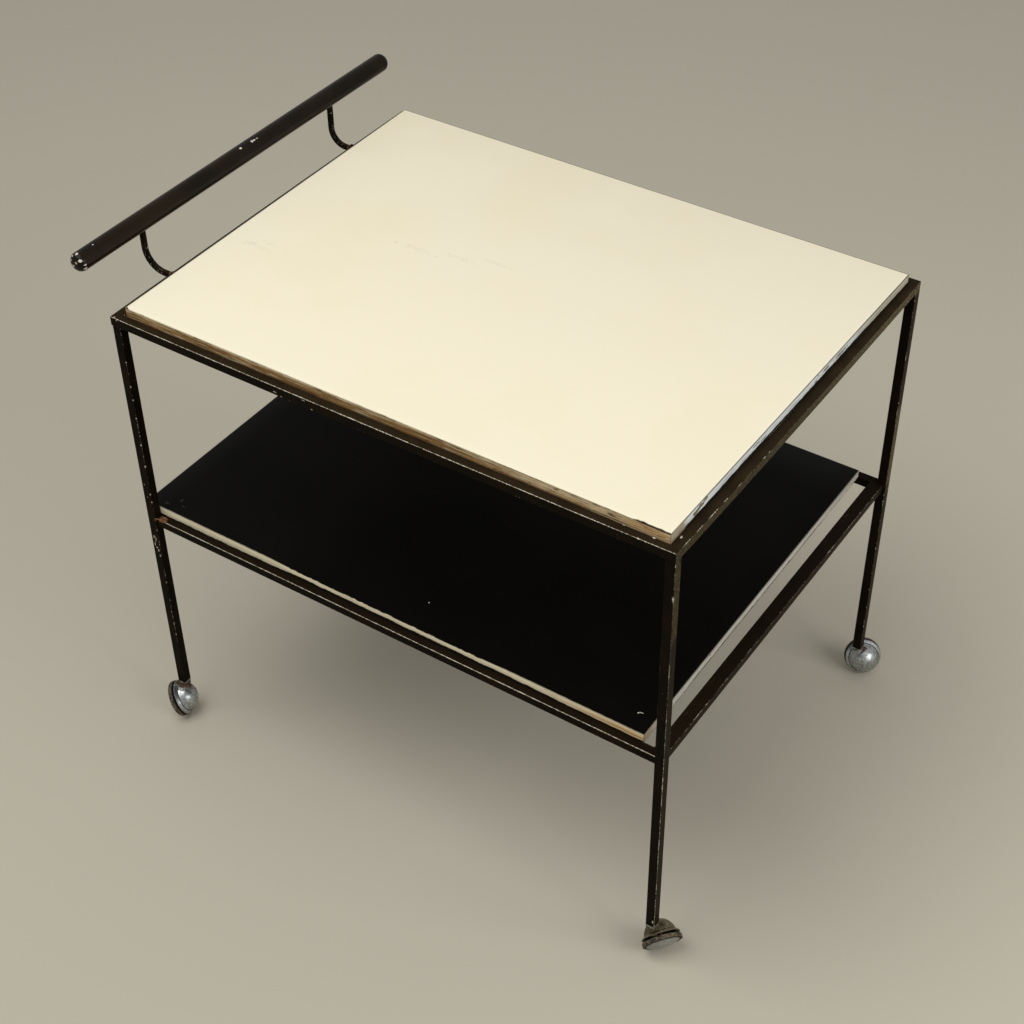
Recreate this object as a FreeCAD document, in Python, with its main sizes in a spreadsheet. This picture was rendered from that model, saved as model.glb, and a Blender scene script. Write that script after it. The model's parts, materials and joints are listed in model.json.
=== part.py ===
import FreeCAD, Part
import math
import os

# Two-tier tea trolley: square-tube frame, laminated top, loose black shelf,
# push handle at the left end and four ball castors.
# Millimetres, +Z up.  Sizes are written in a frame whose corner is the
# front-left outer corner of the tubes at the level of the leg ends; the row
# origin (bottom centre of the whole trolley) is reached by the two origin
# values and the castor height.

Vec = FreeCAD.Vector
Rot = FreeCAD.Rotation
doc = FreeCAD.newDocument("tea_trolley")

# ---------------------------------------------------------------- dimensions
SIZES = [
    # tube frame
    ("frame_length", 760.0), ("frame_depth", 575.0), ("frame_height", 608.0),
    ("tube_size", 12.0), ("tube_wall", 1.2), ("leg_round", 0.7), ("rail_round", 0.6),
    ("lower_rail_top", 298.5), ("side_rail_inset", 2.3), ("end_rail_inset", 3.7),
    ("strip_width", 5.0), ("cross_bar_left", 700.0),
    # top panel
    ("panel_left", 16.0), ("panel_front", 9.5), ("panel_length", 733.0),
    ("panel_depth", 551.0), ("panel_core", 12.0), ("panel_laminate", 1.5),
    ("edge_band", 0.8),
    # fixings
    ("tab_length", 24.0), ("tab_width", 20.0), ("tab_plate", 3.0),
    ("screw_radius", 1.75), ("screw_head_radius", 3.6), ("screw_head", 1.8),
    ("screw_bite", 8.0),
    # shelf
    ("shelf_left", -11.0), ("shelf_front", 12.5), ("shelf_length", 735.5),
    ("shelf_depth", 547.8), ("shelf_core_size", 11.0), ("shelf_laminate_size", 1.0),
    # push handle
    ("grip_radius", 12.1), ("grip_length", 576.0), ("grip_end_round", 8.5),
    ("grip_front_overhang", 109.3), ("rod_radius", 4.0), ("rod_socket_gap", 0.05),
    ("rod_grip_depth", 8.0), ("front_rod_at", 107.8), ("front_rod_reach", 40.4),
    ("front_rod_level", 603.2), ("front_rod_bend", 27.0), ("front_grip_level", 666.2),
    ("back_rod_at", 459.3), ("back_rod_reach", 31.0), ("back_rod_level", 606.5),
    ("back_rod_bend", 22.0), ("back_grip_level", 673.9),
    ("weld_height", 2.4), ("weld_foot", 6.2),
    # castors, measured along the wheel axle from the middle of the tyre
    ("ball_drop", 27.1), ("axle_tilt", 24.0), ("stem_ahead", 10.0), ("stem_aside", 10.5),
    ("tyre_radius", 25.3), ("tyre_half", 2.9), ("tyre_inner", 22.2), ("tyre_round", 1.2),
    ("rim_inner", 18.0), ("web_half", 1.2), ("hub_radius", 8.0), ("hub_outer", 4.3),
    ("hub_inner", 5.8), ("axle_radius", 3.0), ("axle_run", 0.06),
    ("axle_end", 20.0), ("axle_head_radius", 5.0), ("axle_head", 1.2), ("head_gap", 0.1),
    ("cap_radius", 21.2), ("cap_bulge", 4.8), ("cap_sheet", 1.0),
    ("hood_start", 5.95), ("hood_rim", 24.5), ("hood_step", 9.6), ("hood_step_rim", 21.0),
    ("groove_end", 10.1), ("groove_rim", 19.9), ("dome_centre", 6.7),
    ("dome_radius", 20.6), ("hood_sheet", 1.7), ("boss_radius", 6.0), ("boss_end", 24.0),
    ("neck_radius", 8.0), ("neck_top", -2.9), ("stem_boss", 7.0), ("stem_boss_low", -18.0),
    ("stem_radius", 4.0), ("stem_run", 0.06), ("stem_low", -17.0), ("stem_high", 26.5),
    ("collar_radius", 7.0), ("collar_top", -1.35),
    ("socket_flange", 1.2), ("socket_plug", 30.0), ("socket_bore_top", 28.0),
    ("azimuth_front_left", 36.6), ("azimuth_front_right", 140.0),
    ("azimuth_back_right", -56.0), ("azimuth_back_left", -128.0),
    # row origin
    ("origin_x", 366.4), ("origin_y", 285.3), ("castor_height", 51.0),
]

sheet = doc.addObject("Spreadsheet::Sheet", "Dims")
for row, (alias, value) in enumerate(SIZES, start=1):
    sheet.set(f"A{row}", alias)
    sheet.set(f"B{row}", str(value))
    sheet.setAlias(f"B{row}", alias)
doc.recompute()


def size(alias):
    return float(sheet.get(alias))


# ------------------------------------------------------------------- helpers
PARTS = []


def bind(feature, **expressions):
    for prop, expression in expressions.items():
        feature.setExpression(prop, expression)
    return feature


def place(feature, x, y, z):
    for axis, expression in zip("xyz", (x, y, z)):
        feature.setExpression(f"Placement.Base.{axis}", expression)
    return feature


def row_place(feature, x, y, z):
    return place(feature, f"{x} - Dims.origin_x", f"{y} - Dims.origin_y",
                 f"{z} + Dims.castor_height")


def row_point(x, y, z):
    return Vec(x - size("origin_x"), y - size("origin_y"), z + size("castor_height"))


def box(name, length, width, height):
    feature = doc.addObject("Part::Box", name)
    return bind(feature, Length=length, Width=width, Height=height)


def cylinder(name, radius, height):
    return bind(doc.addObject("Part::Cylinder", name), Radius=radius, Height=height)


def cone(name, radius_1, radius_2, height):
    feature = doc.addObject("Part::Cone", name)
    return bind(feature, Radius1=radius_1, Radius2=radius_2, Height=height)


def cut(name, base, tool):
    feature = doc.addObject("Part::Cut", name)
    feature.Base = base
    feature.Tool = tool
    return feature


def common(name, base, tool):
    feature = doc.addObject("Part::Common", name)
    feature.Base = base
    feature.Tool = tool
    return feature


def fuse(name, features):
    feature = doc.addObject("Part::MultiFuse", name)
    feature.Shapes = features
    return feature


def group(name, features):
    feature = doc.addObject("Part::Compound", name)
    feature.Links = features
    return feature


def round_edges(name, base, radius, keep):
    doc.recompute()
    feature = doc.addObject("Part::Fillet", name)
    feature.Base = base
    chosen = [i for i, edge in enumerate(base.Shape.Edges, start=1) if keep(edge)]
    feature.Edges = [(i, radius, radius) for i in chosen]
    return feature


def runs_along(edge, direction):
    if len(edge.Vertexes) != 2:
        return False
    line = edge.Vertexes[1].Point - edge.Vertexes[0].Point
    return line.cross(direction).Length < 1e-6


def part(name, feature):
    feature.Label = name
    PARTS.append((name, feature))
    return feature


# ----------------------------------------------------------------- tube frame
def leg(name, x, y):
    bar = box(name + "_bar", "Dims.tube_size", "Dims.tube_size",
              "Dims.frame_height - Dims.tube_size")
    bar = round_edges(name + "_rounded", bar, size("leg_round"),
                      lambda edge: runs_along(edge, Vec(0, 0, 1)))
    inside = "Dims.tube_size - 2 * Dims.tube_wall"
    hollow = box(name + "_hollow", inside, inside, "Dims.frame_height")
    place(hollow, "Dims.tube_wall", "Dims.tube_wall", "-10")
    return part(name, row_place(cut(name, bar, hollow), x, y, "0"))


def mitred_rail(name, length, turn, x, y):
    """Top rail: 45 degree ends, outer face on local Y = 0."""
    bar = doc.addObject("Part::Wedge", name + "_bar")
    bind(bar, Xmin="0", Ymin="0", Zmin="0", X2min="Dims.tube_size", Z2min="0",
         Xmax=length, Ymax="Dims.tube_size", Zmax="Dims.tube_size",
         X2max=f"{length} - Dims.tube_size", Z2max="Dims.tube_size")
    bar = round_edges(name + "_rounded", bar, size("rail_round"),
                      lambda edge: runs_along(edge, Vec(1, 0, 0)))
    inside = "Dims.tube_size - 2 * Dims.tube_wall"
    hollow = box(name + "_hollow", f"{length} + 20", inside, inside)
    place(hollow, "-10", "Dims.tube_wall", "Dims.tube_wall")
    rail = cut(name, bar, hollow)
    rail.Placement.Rotation = Rot(Vec(0, 0, 1), turn)
    return part(name, row_place(rail, x, y, "Dims.frame_height - Dims.tube_size"))


def straight_rail(name, length, turn, x, y, notches=()):
    """Lower rail: square ends butted against its neighbours."""
    bar = box(name + "_bar", length, "Dims.tube_size", "Dims.tube_size")
    bar = round_edges(name + "_rounded", bar, size("rail_round"),
                      lambda edge: runs_along(edge, Vec(1, 0, 0)))
    inside = "Dims.tube_size - 2 * Dims.tube_wall"
    hollow = box(name + "_hollow", f"{length} + 20", inside, inside)
    place(hollow, "-10", "Dims.tube_wall", "Dims.tube_wall")
    rail = cut(name + ("_tube" if notches else ""), bar, hollow)
    if notches:
        rail = cut(name, rail, fuse(name + "_notches", notches))
    rail.Placement.Rotation = Rot(Vec(0, 0, 1), turn)
    return part(name, row_place(rail, x, y, "Dims.lower_rail_top - Dims.tube_size"))


FAR_X = "Dims.frame_length"
FAR_Y = "Dims.frame_depth"
LEGS = {
    "front_left": ("0", "0"),
    "front_right": (FAR_X + " - Dims.tube_size", "0"),
    "back_right": (FAR_X + " - Dims.tube_size", FAR_Y + " - Dims.tube_size"),
    "back_left": ("0", FAR_Y + " - Dims.tube_size"),
}
for corner, (leg_x, leg_y) in LEGS.items():
    leg("leg_" + corner, leg_x, leg_y)

mitred_rail("top_rail_front", FAR_X, 0, "0", "0")
mitred_rail("top_rail_right", FAR_Y, 90, FAR_X, "0")
mitred_rail("top_rail_back", FAR_X, 180, FAR_X, FAR_Y)
mitred_rail("top_rail_left", FAR_Y, -90, "0", FAR_Y)

BETWEEN_X = FAR_X + " - 2 * Dims.tube_size"
BETWEEN_Y = FAR_Y + " - 2 * Dims.tube_size"
straight_rail("lower_rail_front", BETWEEN_X, 0, "Dims.tube_size", "Dims.side_rail_inset")
straight_rail("lower_rail_back", BETWEEN_X, 180, FAR_X + " - Dims.tube_size",
              FAR_Y + " - Dims.side_rail_inset")


def corner_notch(name, at_far_end):
    """Room for the side rail where an end rail's inner edge meets it."""
    notch = box(name, "Dims.side_rail_inset", "Dims.end_rail_inset", "Dims.tube_size + 2")
    start = f"{BETWEEN_Y} - Dims.side_rail_inset" if at_far_end else "0"
    return place(notch, start, "Dims.tube_size - Dims.end_rail_inset", "-1")


for side, turn, rail_x, rail_y in (
        ("right", 90, FAR_X + " - Dims.end_rail_inset", "Dims.tube_size"),
        ("left", -90, "Dims.end_rail_inset", FAR_Y + " - Dims.tube_size")):
    name = "lower_rail_" + side
    notches = [corner_notch(name + "_notch_1", False), corner_notch(name + "_notch_2", True)]
    straight_rail(name, BETWEEN_Y, turn, rail_x, rail_y, notches)

SIDE_INNER = "(Dims.side_rail_inset + Dims.tube_size)"
END_INNER = "(Dims.end_rail_inset + Dims.tube_size)"
STRIP_Z = "Dims.lower_rail_top - Dims.tube_size"
for side, strip_x in (("left", END_INNER),
                      ("right", f"{FAR_X} - {END_INNER} - Dims.strip_width")):
    strip = box("lower_end_strip_" + side, "Dims.strip_width",
                f"{FAR_Y} - 2 * {SIDE_INNER}", "Dims.tube_size")
    part("lower_end_strip_" + side, row_place(strip, strip_x, SIDE_INNER, STRIP_Z))

bar = box("shelf_cross_bar_bar", "Dims.tube_size", f"{FAR_Y} - 2 * {SIDE_INNER}",
          "Dims.tube_size")
bar = round_edges("shelf_cross_bar_rounded", bar, size("rail_round"),
                  lambda edge: runs_along(edge, Vec(0, 1, 0)))
hollow = box("shelf_cross_bar_hollow", "Dims.tube_size - 2 * Dims.tube_wall",
             "Dims.frame_depth", "Dims.tube_size - 2 * Dims.tube_wall")
place(hollow, "Dims.tube_wall", "-10", "Dims.tube_wall")
cross_bar = cut("shelf_cross_bar", bar, hollow)
part("shelf_cross_bar", row_place(cross_bar, "Dims.cross_bar_left", SIDE_INNER, STRIP_Z))


# ------------------------------------------------------------ top and shelf
def board(prefix, left, front, length, depth, bottom, core, laminate, names):
    """Core bare at the front, with thin bands on the other three edges."""
    band = "Dims.edge_band"
    core_box = box(names["core"], f"{length} - 2 * {band}", f"{depth} - {band}", core)
    row_place(core_box, f"{left} + {band}", front, bottom)
    skin = box(names["laminate"], f"{length} - 2 * {band}", f"{depth} - {band}", laminate)
    row_place(skin, f"{left} + {band}", front, f"{bottom} + {core}")
    part(names["laminate"], skin)
    for side, x, y, run_x, run_y in (
            ("left", left, front, band, f"{depth} - {band}"),
            ("right", f"{left} + {length} - {band}", front, band, f"{depth} - {band}"),
            ("back", left, f"{front} + {depth} - {band}", length, band)):
        name = f"{prefix}_edge_band_{side}"
        strip = box(name, run_x, run_y, f"{core} + {laminate}")
        part(name, row_place(strip, x, y, bottom))
    return core_box


def screw(name, x, y, seat, pilot):
    """Round-head wood screw pushed up through a plate whose underside is at seat."""
    head = cone(name + "_head", "Dims.screw_head_radius * 0.6", "Dims.screw_head_radius",
                "Dims.screw_head")
    place(head, "0", "0", "-Dims.screw_head")
    shank = cylinder(name + "_shank", "Dims.screw_radius", f"{pilot} + Dims.screw_bite")
    body = fuse(name, [head, shank])
    return row_place(body, x, y, seat)


def holes(name, points, radius, bottom, height):
    drills = []
    for i, (x, y) in enumerate(points):
        drill = cylinder(f"{name}_{i}", radius, height)
        drills.append(row_place(drill, x, y, bottom))
    return fuse(name, drills)


TAB_Z = "Dims.frame_height - Dims.tab_plate"
tab_spots = [("fl", "130", "Dims.tube_size"), ("fm", "370", "Dims.tube_size"),
             ("fr", "610", "Dims.tube_size")]
tabs = []
tab_holes = []
INNER_BACK = f"{FAR_Y} - Dims.tube_size - Dims.tab_length"
for tag, x, y in tab_spots + [("bl", "130", INNER_BACK), ("bm", "370", INNER_BACK),
                              ("br", "610", INNER_BACK)]:
    plate = box(f"tab_plate_{tag}", "Dims.tab_width", "Dims.tab_length", "Dims.tab_plate")
    row_place(plate, x, y, TAB_Z)
    centre = (f"{x} + Dims.tab_width / 2", f"{y} + Dims.tab_length / 2")
    drill = row_place(cylinder(f"tab_drill_{tag}", "Dims.screw_radius + 0.1", "20"),
                      centre[0], centre[1], "Dims.frame_height - 10")
    tabs.append(cut(f"tab_{tag}", plate, drill))
    tab_holes.append(centre)
part("panel_fixing_tabs", group("panel_fixing_tabs", tabs))

top_core = board("top", "Dims.panel_left", "Dims.panel_front", "Dims.panel_length",
                 "Dims.panel_depth", "Dims.frame_height", "Dims.panel_core",
                 "Dims.panel_laminate",
                 {"core": "top_panel_blank", "laminate": "top_laminate"})
pilots = holes("top_panel_pilots", tab_holes, "Dims.screw_radius", "Dims.frame_height",
               "Dims.screw_bite")
part("top_panel_core", cut("top_panel_core", top_core, pilots))
top_screws = [screw(f"top_screw_{i}", x, y, TAB_Z, "Dims.tab_plate")
              for i, (x, y) in enumerate(tab_holes)]
part("top_panel_screws", group("top_panel_screws", top_screws))

shelf_blank = board("shelf", "Dims.shelf_left", "Dims.shelf_front", "Dims.shelf_length",
                    "Dims.shelf_depth", "Dims.lower_rail_top", "Dims.shelf_core_size",
                    "Dims.shelf_laminate_size",
                    {"core": "shelf_blank", "laminate": "shelf_laminate"})
part("shelf_core", shelf_blank)

# ------------------------------------------------------------- push handle
RODS = {"front": "front_rod", "back": "back_rod"}
grip_points = {}
welds = []
for end, key in RODS.items():
    at, reach, level, bend = (f"Dims.{key}_{what}" for what in ("at", "reach", "level", "bend"))
    grip_level = f"Dims.{end}_grip_level"
    name = "handle_rod_" + end
    foot = cylinder(name + "_foot", "Dims.rod_radius", f"{reach} - {bend}")
    foot.Placement.Rotation = Rot(Vec(0, 1, 0), -90)
    curve = doc.addObject("Part::Torus", name + "_curve")
    bind(curve, Radius1=bend, Radius2="Dims.rod_radius", Angle3="90")
    curve.Placement.Rotation = Rot(Vec(0, 0, -1), Vec(-1, 0, 0), Vec(0, 1, 0), "ZXY")
    place(curve, f"-({reach} - {bend})", "0", bend)
    rise = cylinder(name + "_rise", "Dims.rod_radius",
                    f"{grip_level} - {level} - {bend} - Dims.grip_radius"
                    " + Dims.rod_grip_depth")
    place(rise, f"-{reach}", "0", bend)
    rod = fuse(name, [foot, curve, rise])
    part(name, row_place(rod, "0", at, level))

    bead = cone(name + "_bead", "Dims.weld_foot", "Dims.rod_radius + 0.3",
                "Dims.weld_height")
    core = cylinder(name + "_bead_core", "Dims.rod_radius", "20")
    weld = cut(name + "_weld", bead, core)
    weld.Placement.Rotation = Rot(Vec(0, 1, 0), -90)
    welds.append(row_place(weld, "0", at, level))
    grip_points[end] = row_point(-size(f"{key}_reach"), size(f"{key}_at"),
                                 size(f"{end}_grip_level"))
part("handle_rod_welds", group("handle_rod_welds", welds))

grip = cylinder("handle_grip_bar", "Dims.grip_radius", "Dims.grip_length")
grip = round_edges("handle_grip_rounded", grip, size("grip_end_round"),
                   lambda edge: isinstance(edge.Curve, Part.Circle))
grip_line = (grip_points["back"] - grip_points["front"]).normalize()
grip.Placement = FreeCAD.Placement(
    grip_points["front"] - grip_line * size("grip_front_overhang"),
    Rot(Vec(0, 0, 1), grip_line))
sockets = []
for end, key in RODS.items():
    socket = cylinder(f"handle_socket_{end}", "Dims.rod_radius + Dims.rod_socket_gap",
                      "Dims.rod_grip_depth + 6")
    row_place(socket, f"-Dims.{key}_reach", f"Dims.{key}_at",
              f"Dims.{end}_grip_level - Dims.grip_radius - 6 + Dims.rod_socket_gap")
    sockets.append(socket)
part("handle_bar", cut("handle_bar", grip, fuse("handle_sockets", sockets)))

# ------------------------------------------------------------------- castors
TILT = size("axle_tilt")
AXLE = FreeCAD.Placement(Vec(0, 0, 0), Rot(Vec(0, 1, 0), 90 - TILT))


def along(feature, offset):
    """Shift a round solid along the wheel axle (its own Z before tilting)."""
    return place(feature, "0", "0", offset)


def on_axle(feature, offset):
    """Tilt one round solid on to the axle line, starting at offset."""
    feature.Placement = AXLE.multiply(FreeCAD.Placement(Vec(0, 0, offset), Rot()))
    return feature


def castor(corner, leg_x, leg_y, hand):
    azimuth = size("azimuth_" + corner)
    turn = Rot(Vec(0, 0, 1), azimuth)
    stem_at = Vec(size("stem_ahead"), hand * size("stem_aside"), 0)
    centre = row_point(leg_x, leg_y, -size("ball_drop")) - turn.multVec(stem_at)
    swivel = FreeCAD.Placement(centre, turn)

    def upright(feature, low):
        aside = "Dims.stem_aside" if hand > 0 else "-Dims.stem_aside"
        return place(feature, "Dims.stem_ahead", aside, f"{low} + Dims.ball_drop")

    # hood: flared rim, shadow groove and ball-shaped dome round the axle
    tag = corner + "_"
    rim = cone(tag + "rim", "Dims.hood_rim", "Dims.hood_step_rim",
               "Dims.hood_step - Dims.hood_start")
    along(rim, "Dims.hood_start")
    groove = cylinder(tag + "groove", "Dims.groove_rim", "Dims.groove_end - Dims.hood_step")
    along(groove, "Dims.hood_step")
    ball = bind(doc.addObject("Part::Sphere", tag + "ball"), Radius="Dims.dome_radius")
    along(ball, "Dims.dome_centre")
    half = cylinder(tag + "half", "40", "40")
    along(half, "Dims.groove_end")
    dome = common(tag + "dome", ball, half)
    outside = fuse(tag + "outside", [rim, groove, dome])
    outside.Placement = AXLE
    neck = upright(cylinder(tag + "neck", "Dims.neck_radius", "Dims.neck_top + 14"), "-14")
    inner_rim = cone(tag + "inner_rim", "Dims.hood_rim - Dims.hood_sheet",
                     "Dims.groove_rim - Dims.hood_sheet", "Dims.groove_end - Dims.hood_start")
    along(inner_rim, "Dims.hood_start")
    inner_ball = bind(doc.addObject("Part::Sphere", tag + "inner_ball"),
                      Radius="Dims.dome_radius - Dims.hood_sheet")
    along(inner_ball, "Dims.dome_centre")
    inner_half = cylinder(tag + "inner_half", "40", "40")
    along(inner_half, "Dims.groove_end - 0.01")
    inner_dome = common(tag + "inner_dome", inner_ball, inner_half)
    inside = fuse(tag + "inside", [inner_rim, inner_dome])
    inside.Placement = AXLE
    shell = cut(tag + "shell", fuse(tag + "skin", [outside, neck]), inside)
    boss = cylinder(tag + "boss", "Dims.boss_radius", "Dims.boss_end - Dims.hood_start")
    on_axle(boss, size("hood_start"))
    stem_boss = upright(cylinder(tag + "stem_boss", "Dims.stem_boss",
                                 "Dims.neck_top - Dims.stem_boss_low"), "Dims.stem_boss_low")
    solid = fuse(tag + "solid", [shell, boss, stem_boss])
    axle_bore = on_axle(cylinder(tag + "bore", "Dims.axle_radius", "Dims.axle_end"), 0)
    stem_bore = upright(cylinder(tag + "stem_bore", "Dims.stem_radius",
                                 "Dims.stem_high - Dims.stem_low"), "Dims.stem_low")
    hood = cut("castor_hood_" + corner, solid, fuse(tag + "bores", [axle_bore, stem_bore]))
    hood.Placement = swivel
    part("castor_hood_" + corner, hood)

    # stem with its collar just under the leg
    pin = upright(cylinder(tag + "pin", "Dims.stem_radius",
                           "Dims.stem_high - Dims.stem_low"), "Dims.stem_low")
    collar = upright(cylinder(tag + "collar", "Dims.collar_radius",
                              "Dims.collar_top - Dims.neck_top"), "Dims.neck_top")
    stem = fuse("castor_stem_" + corner, [pin, collar])
    stem.Placement = swivel
    part("castor_stem_" + corner, stem)

    # axle with the head that keeps the wheel on
    shaft = cylinder(tag + "shaft", "Dims.axle_radius",
                     "Dims.axle_end + Dims.hub_outer + Dims.head_gap")
    along(shaft, "-Dims.hub_outer - Dims.head_gap")
    head = cylinder(tag + "head", "Dims.axle_head_radius", "Dims.axle_head")
    along(head, "-Dims.hub_outer - Dims.head_gap - Dims.axle_head")
    axle = fuse("castor_axle_" + corner, [shaft, head])
    axle.Placement = swivel.multiply(AXLE)
    part("castor_axle_" + corner, axle)

    # wheel: rim, web and long hub
    width = "2 * Dims.tyre_half"
    rim_disc = along(cylinder(tag + "rim_disc", "Dims.tyre_inner", width), "-Dims.tyre_half")
    rim_hole = along(cylinder(tag + "rim_hole", "Dims.rim_inner", width + " + 2"),
                     "-Dims.tyre_half - 1")
    ring = cut(tag + "ring", rim_disc, rim_hole)
    web = along(cylinder(tag + "web", "Dims.rim_inner + 1", "2 * Dims.web_half"),
                "-Dims.web_half")
    hub = along(cylinder(tag + "hub", "Dims.hub_radius", "Dims.hub_outer + Dims.hub_inner"),
                "-Dims.hub_outer")
    hub_bore = along(cylinder(tag + "hub_bore", "Dims.axle_radius + Dims.axle_run", "40"),
                     "-20")
    wheel = cut("castor_wheel_" + corner, fuse(tag + "wheel_solid", [ring, web, hub]),
                hub_bore)
    wheel.Placement = swivel.multiply(AXLE)
    part("castor_wheel_" + corner, wheel)

    # tyre band with rounded shoulders
    band = along(cylinder(tag + "band", "Dims.tyre_radius", width), "-Dims.tyre_half")
    band = round_edges(tag + "band_rounded", band, size("tyre_round"),
                       lambda edge: isinstance(edge.Curve, Part.Circle))
    band_hole = along(cylinder(tag + "band_hole", "Dims.tyre_inner", width + " + 2"),
                      "-Dims.tyre_half - 1")
    tyre = cut("castor_tyre_" + corner, band, band_hole)
    tyre.Placement = swivel.multiply(AXLE)
    part("castor_tyre_" + corner, tyre)

    # low domed cap pressed from sheet over the hub
    bulge_radius = "(Dims.cap_radius ^ 2 + Dims.cap_bulge ^ 2) / (2 * Dims.cap_bulge)"
    pole = "-Dims.tyre_half - Dims.cap_bulge"
    outer = bind(doc.addObject("Part::Sphere", tag + "cap_outer"), Radius=bulge_radius)
    along(outer, f"{pole} + {bulge_radius}")
    inner = bind(doc.addObject("Part::Sphere", tag + "cap_inner"),
                 Radius=f"{bulge_radius} - Dims.cap_sheet")
    along(inner, f"{pole} + {bulge_radius}")
    keep = along(cylinder(tag + "cap_keep", "40", "20"), "-Dims.tyre_half - 20")
    cap = common("castor_wheel_cap_" + corner, cut(tag + "cap_shell", outer, inner), keep)
    cap.Placement = swivel.multiply(AXLE)
    part("castor_wheel_cap_" + corner, cap)


def leg_socket(corner, leg_x, leg_y):
    """Sleeve in the leg end: square plug, flange below, bore for the stem."""
    inside = "Dims.tube_size - 2 * Dims.tube_wall"
    plug = box(corner + "_plug", inside, inside, "Dims.socket_plug")
    place(plug, "Dims.tube_wall", "Dims.tube_wall", "0")
    flange = box(corner + "_flange", "Dims.tube_size", "Dims.tube_size",
                 "Dims.socket_flange")
    place(flange, "0", "0", "-Dims.socket_flange")
    bore = cylinder(corner + "_stem_hole", "Dims.stem_radius + Dims.stem_run",
                    "Dims.socket_bore_top + 5")
    place(bore, "Dims.tube_size / 2", "Dims.tube_size / 2", "-5")
    sleeve = cut(corner + "_sleeve", fuse(corner + "_sleeve_solid", [plug, flange]), bore)
    return row_place(sleeve, leg_x, leg_y, "0")


HALF_TUBE = size("tube_size") / 2
LEG_CENTRES = {
    "front_left": (HALF_TUBE, HALF_TUBE, 1),
    "front_right": (size("frame_length") - HALF_TUBE, HALF_TUBE, 1),
    "back_right": (size("frame_length") - HALF_TUBE, size("frame_depth") - HALF_TUBE, -1),
    "back_left": (HALF_TUBE, size("frame_depth") - HALF_TUBE, -1),
}
sleeves = [leg_socket(corner, *LEGS[corner]) for corner in LEGS]
part("castor_sockets", group("castor_sockets", sleeves))
for corner, (centre_x, centre_y, hand) in LEG_CENTRES.items():
    castor(corner, centre_x, centre_y, hand)

# -------------------------------------------------------------------- export
doc.recompute()
for item in doc.Objects:
    if any(state in ("Invalid", "Error") for state in item.State):
        raise RuntimeError(f"{item.Name} did not recompute: {item.State}")
os.makedirs("parts", exist_ok=True)
for name, feature in PARTS:
    if feature.Shape.isNull() or not feature.Shape.isValid():
        raise RuntimeError(f"{name} has no valid shape")
    if not feature.Shape.Solids:
        raise RuntimeError(f"{name} holds no solid")
    feature.Shape.exportStep(f"parts/{name}.step")
whole = Part.makeCompound([feature.Shape for _, feature in PARTS]).BoundBox
print(f"{len(PARTS)} parts, box x {whole.XMin:.1f} {whole.XMax:.1f}"
      f" y {whole.YMin:.1f} {whole.YMax:.1f} z {whole.ZMin:.1f} {whole.ZMax:.1f}")
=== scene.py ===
import json
import math

import bmesh
import bpy
from bpy.props import FloatProperty, FloatVectorProperty, PointerProperty
from bpy.types import Operator, Panel, PropertyGroup
from mathutils import Matrix, Vector, noise


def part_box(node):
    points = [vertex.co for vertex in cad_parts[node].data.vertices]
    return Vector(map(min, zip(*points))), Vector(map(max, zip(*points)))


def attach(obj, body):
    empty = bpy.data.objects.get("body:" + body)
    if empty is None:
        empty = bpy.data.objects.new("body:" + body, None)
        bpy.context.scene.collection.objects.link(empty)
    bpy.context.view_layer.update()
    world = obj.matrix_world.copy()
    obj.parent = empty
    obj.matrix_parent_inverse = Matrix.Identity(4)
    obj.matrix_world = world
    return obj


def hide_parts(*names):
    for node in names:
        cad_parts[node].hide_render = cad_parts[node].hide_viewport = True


bl_info = {
    "name": "Tea Trolley",
    "version": (1, 0, 0),
    "blender": (4, 5, 0),
    "location": "View3D > Sidebar > Trolley",
    "description": "Builds a welded tube tea trolley round its packed frame",
    "category": "Object",
}

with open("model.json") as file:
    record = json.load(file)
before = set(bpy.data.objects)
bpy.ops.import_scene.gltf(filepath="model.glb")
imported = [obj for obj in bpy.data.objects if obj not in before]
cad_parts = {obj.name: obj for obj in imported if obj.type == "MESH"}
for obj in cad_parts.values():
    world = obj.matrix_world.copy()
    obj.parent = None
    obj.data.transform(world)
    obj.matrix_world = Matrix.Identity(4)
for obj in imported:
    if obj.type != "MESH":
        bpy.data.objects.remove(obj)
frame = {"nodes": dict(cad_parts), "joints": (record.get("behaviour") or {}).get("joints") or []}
JOINTS = {joint["name"]: joint for joint in frame["joints"]}
CORNERS = ("front_left", "front_right", "back_right", "back_left")
MM = 0.001


def linear(code):
    """Turns an sRGB hex code into the linear red, green and blue that shaders take."""
    shares = [int(code[i:i + 2], 16) / 255 for i in (1, 3, 5)]
    return tuple(s / 12.92 if s <= 0.04045 else ((s + 0.055) / 1.055) ** 2.4 for s in shares)


def length_setting(name, description, millimetres):
    return FloatProperty(name=name, description=description, default=millimetres * MM,
                         unit="LENGTH", min=0, precision=5)


def colour_setting(name, description, code):
    return FloatVectorProperty(name=name, description=description, default=linear(code),
                               subtype="COLOR", size=3, min=0, max=1)


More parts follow.
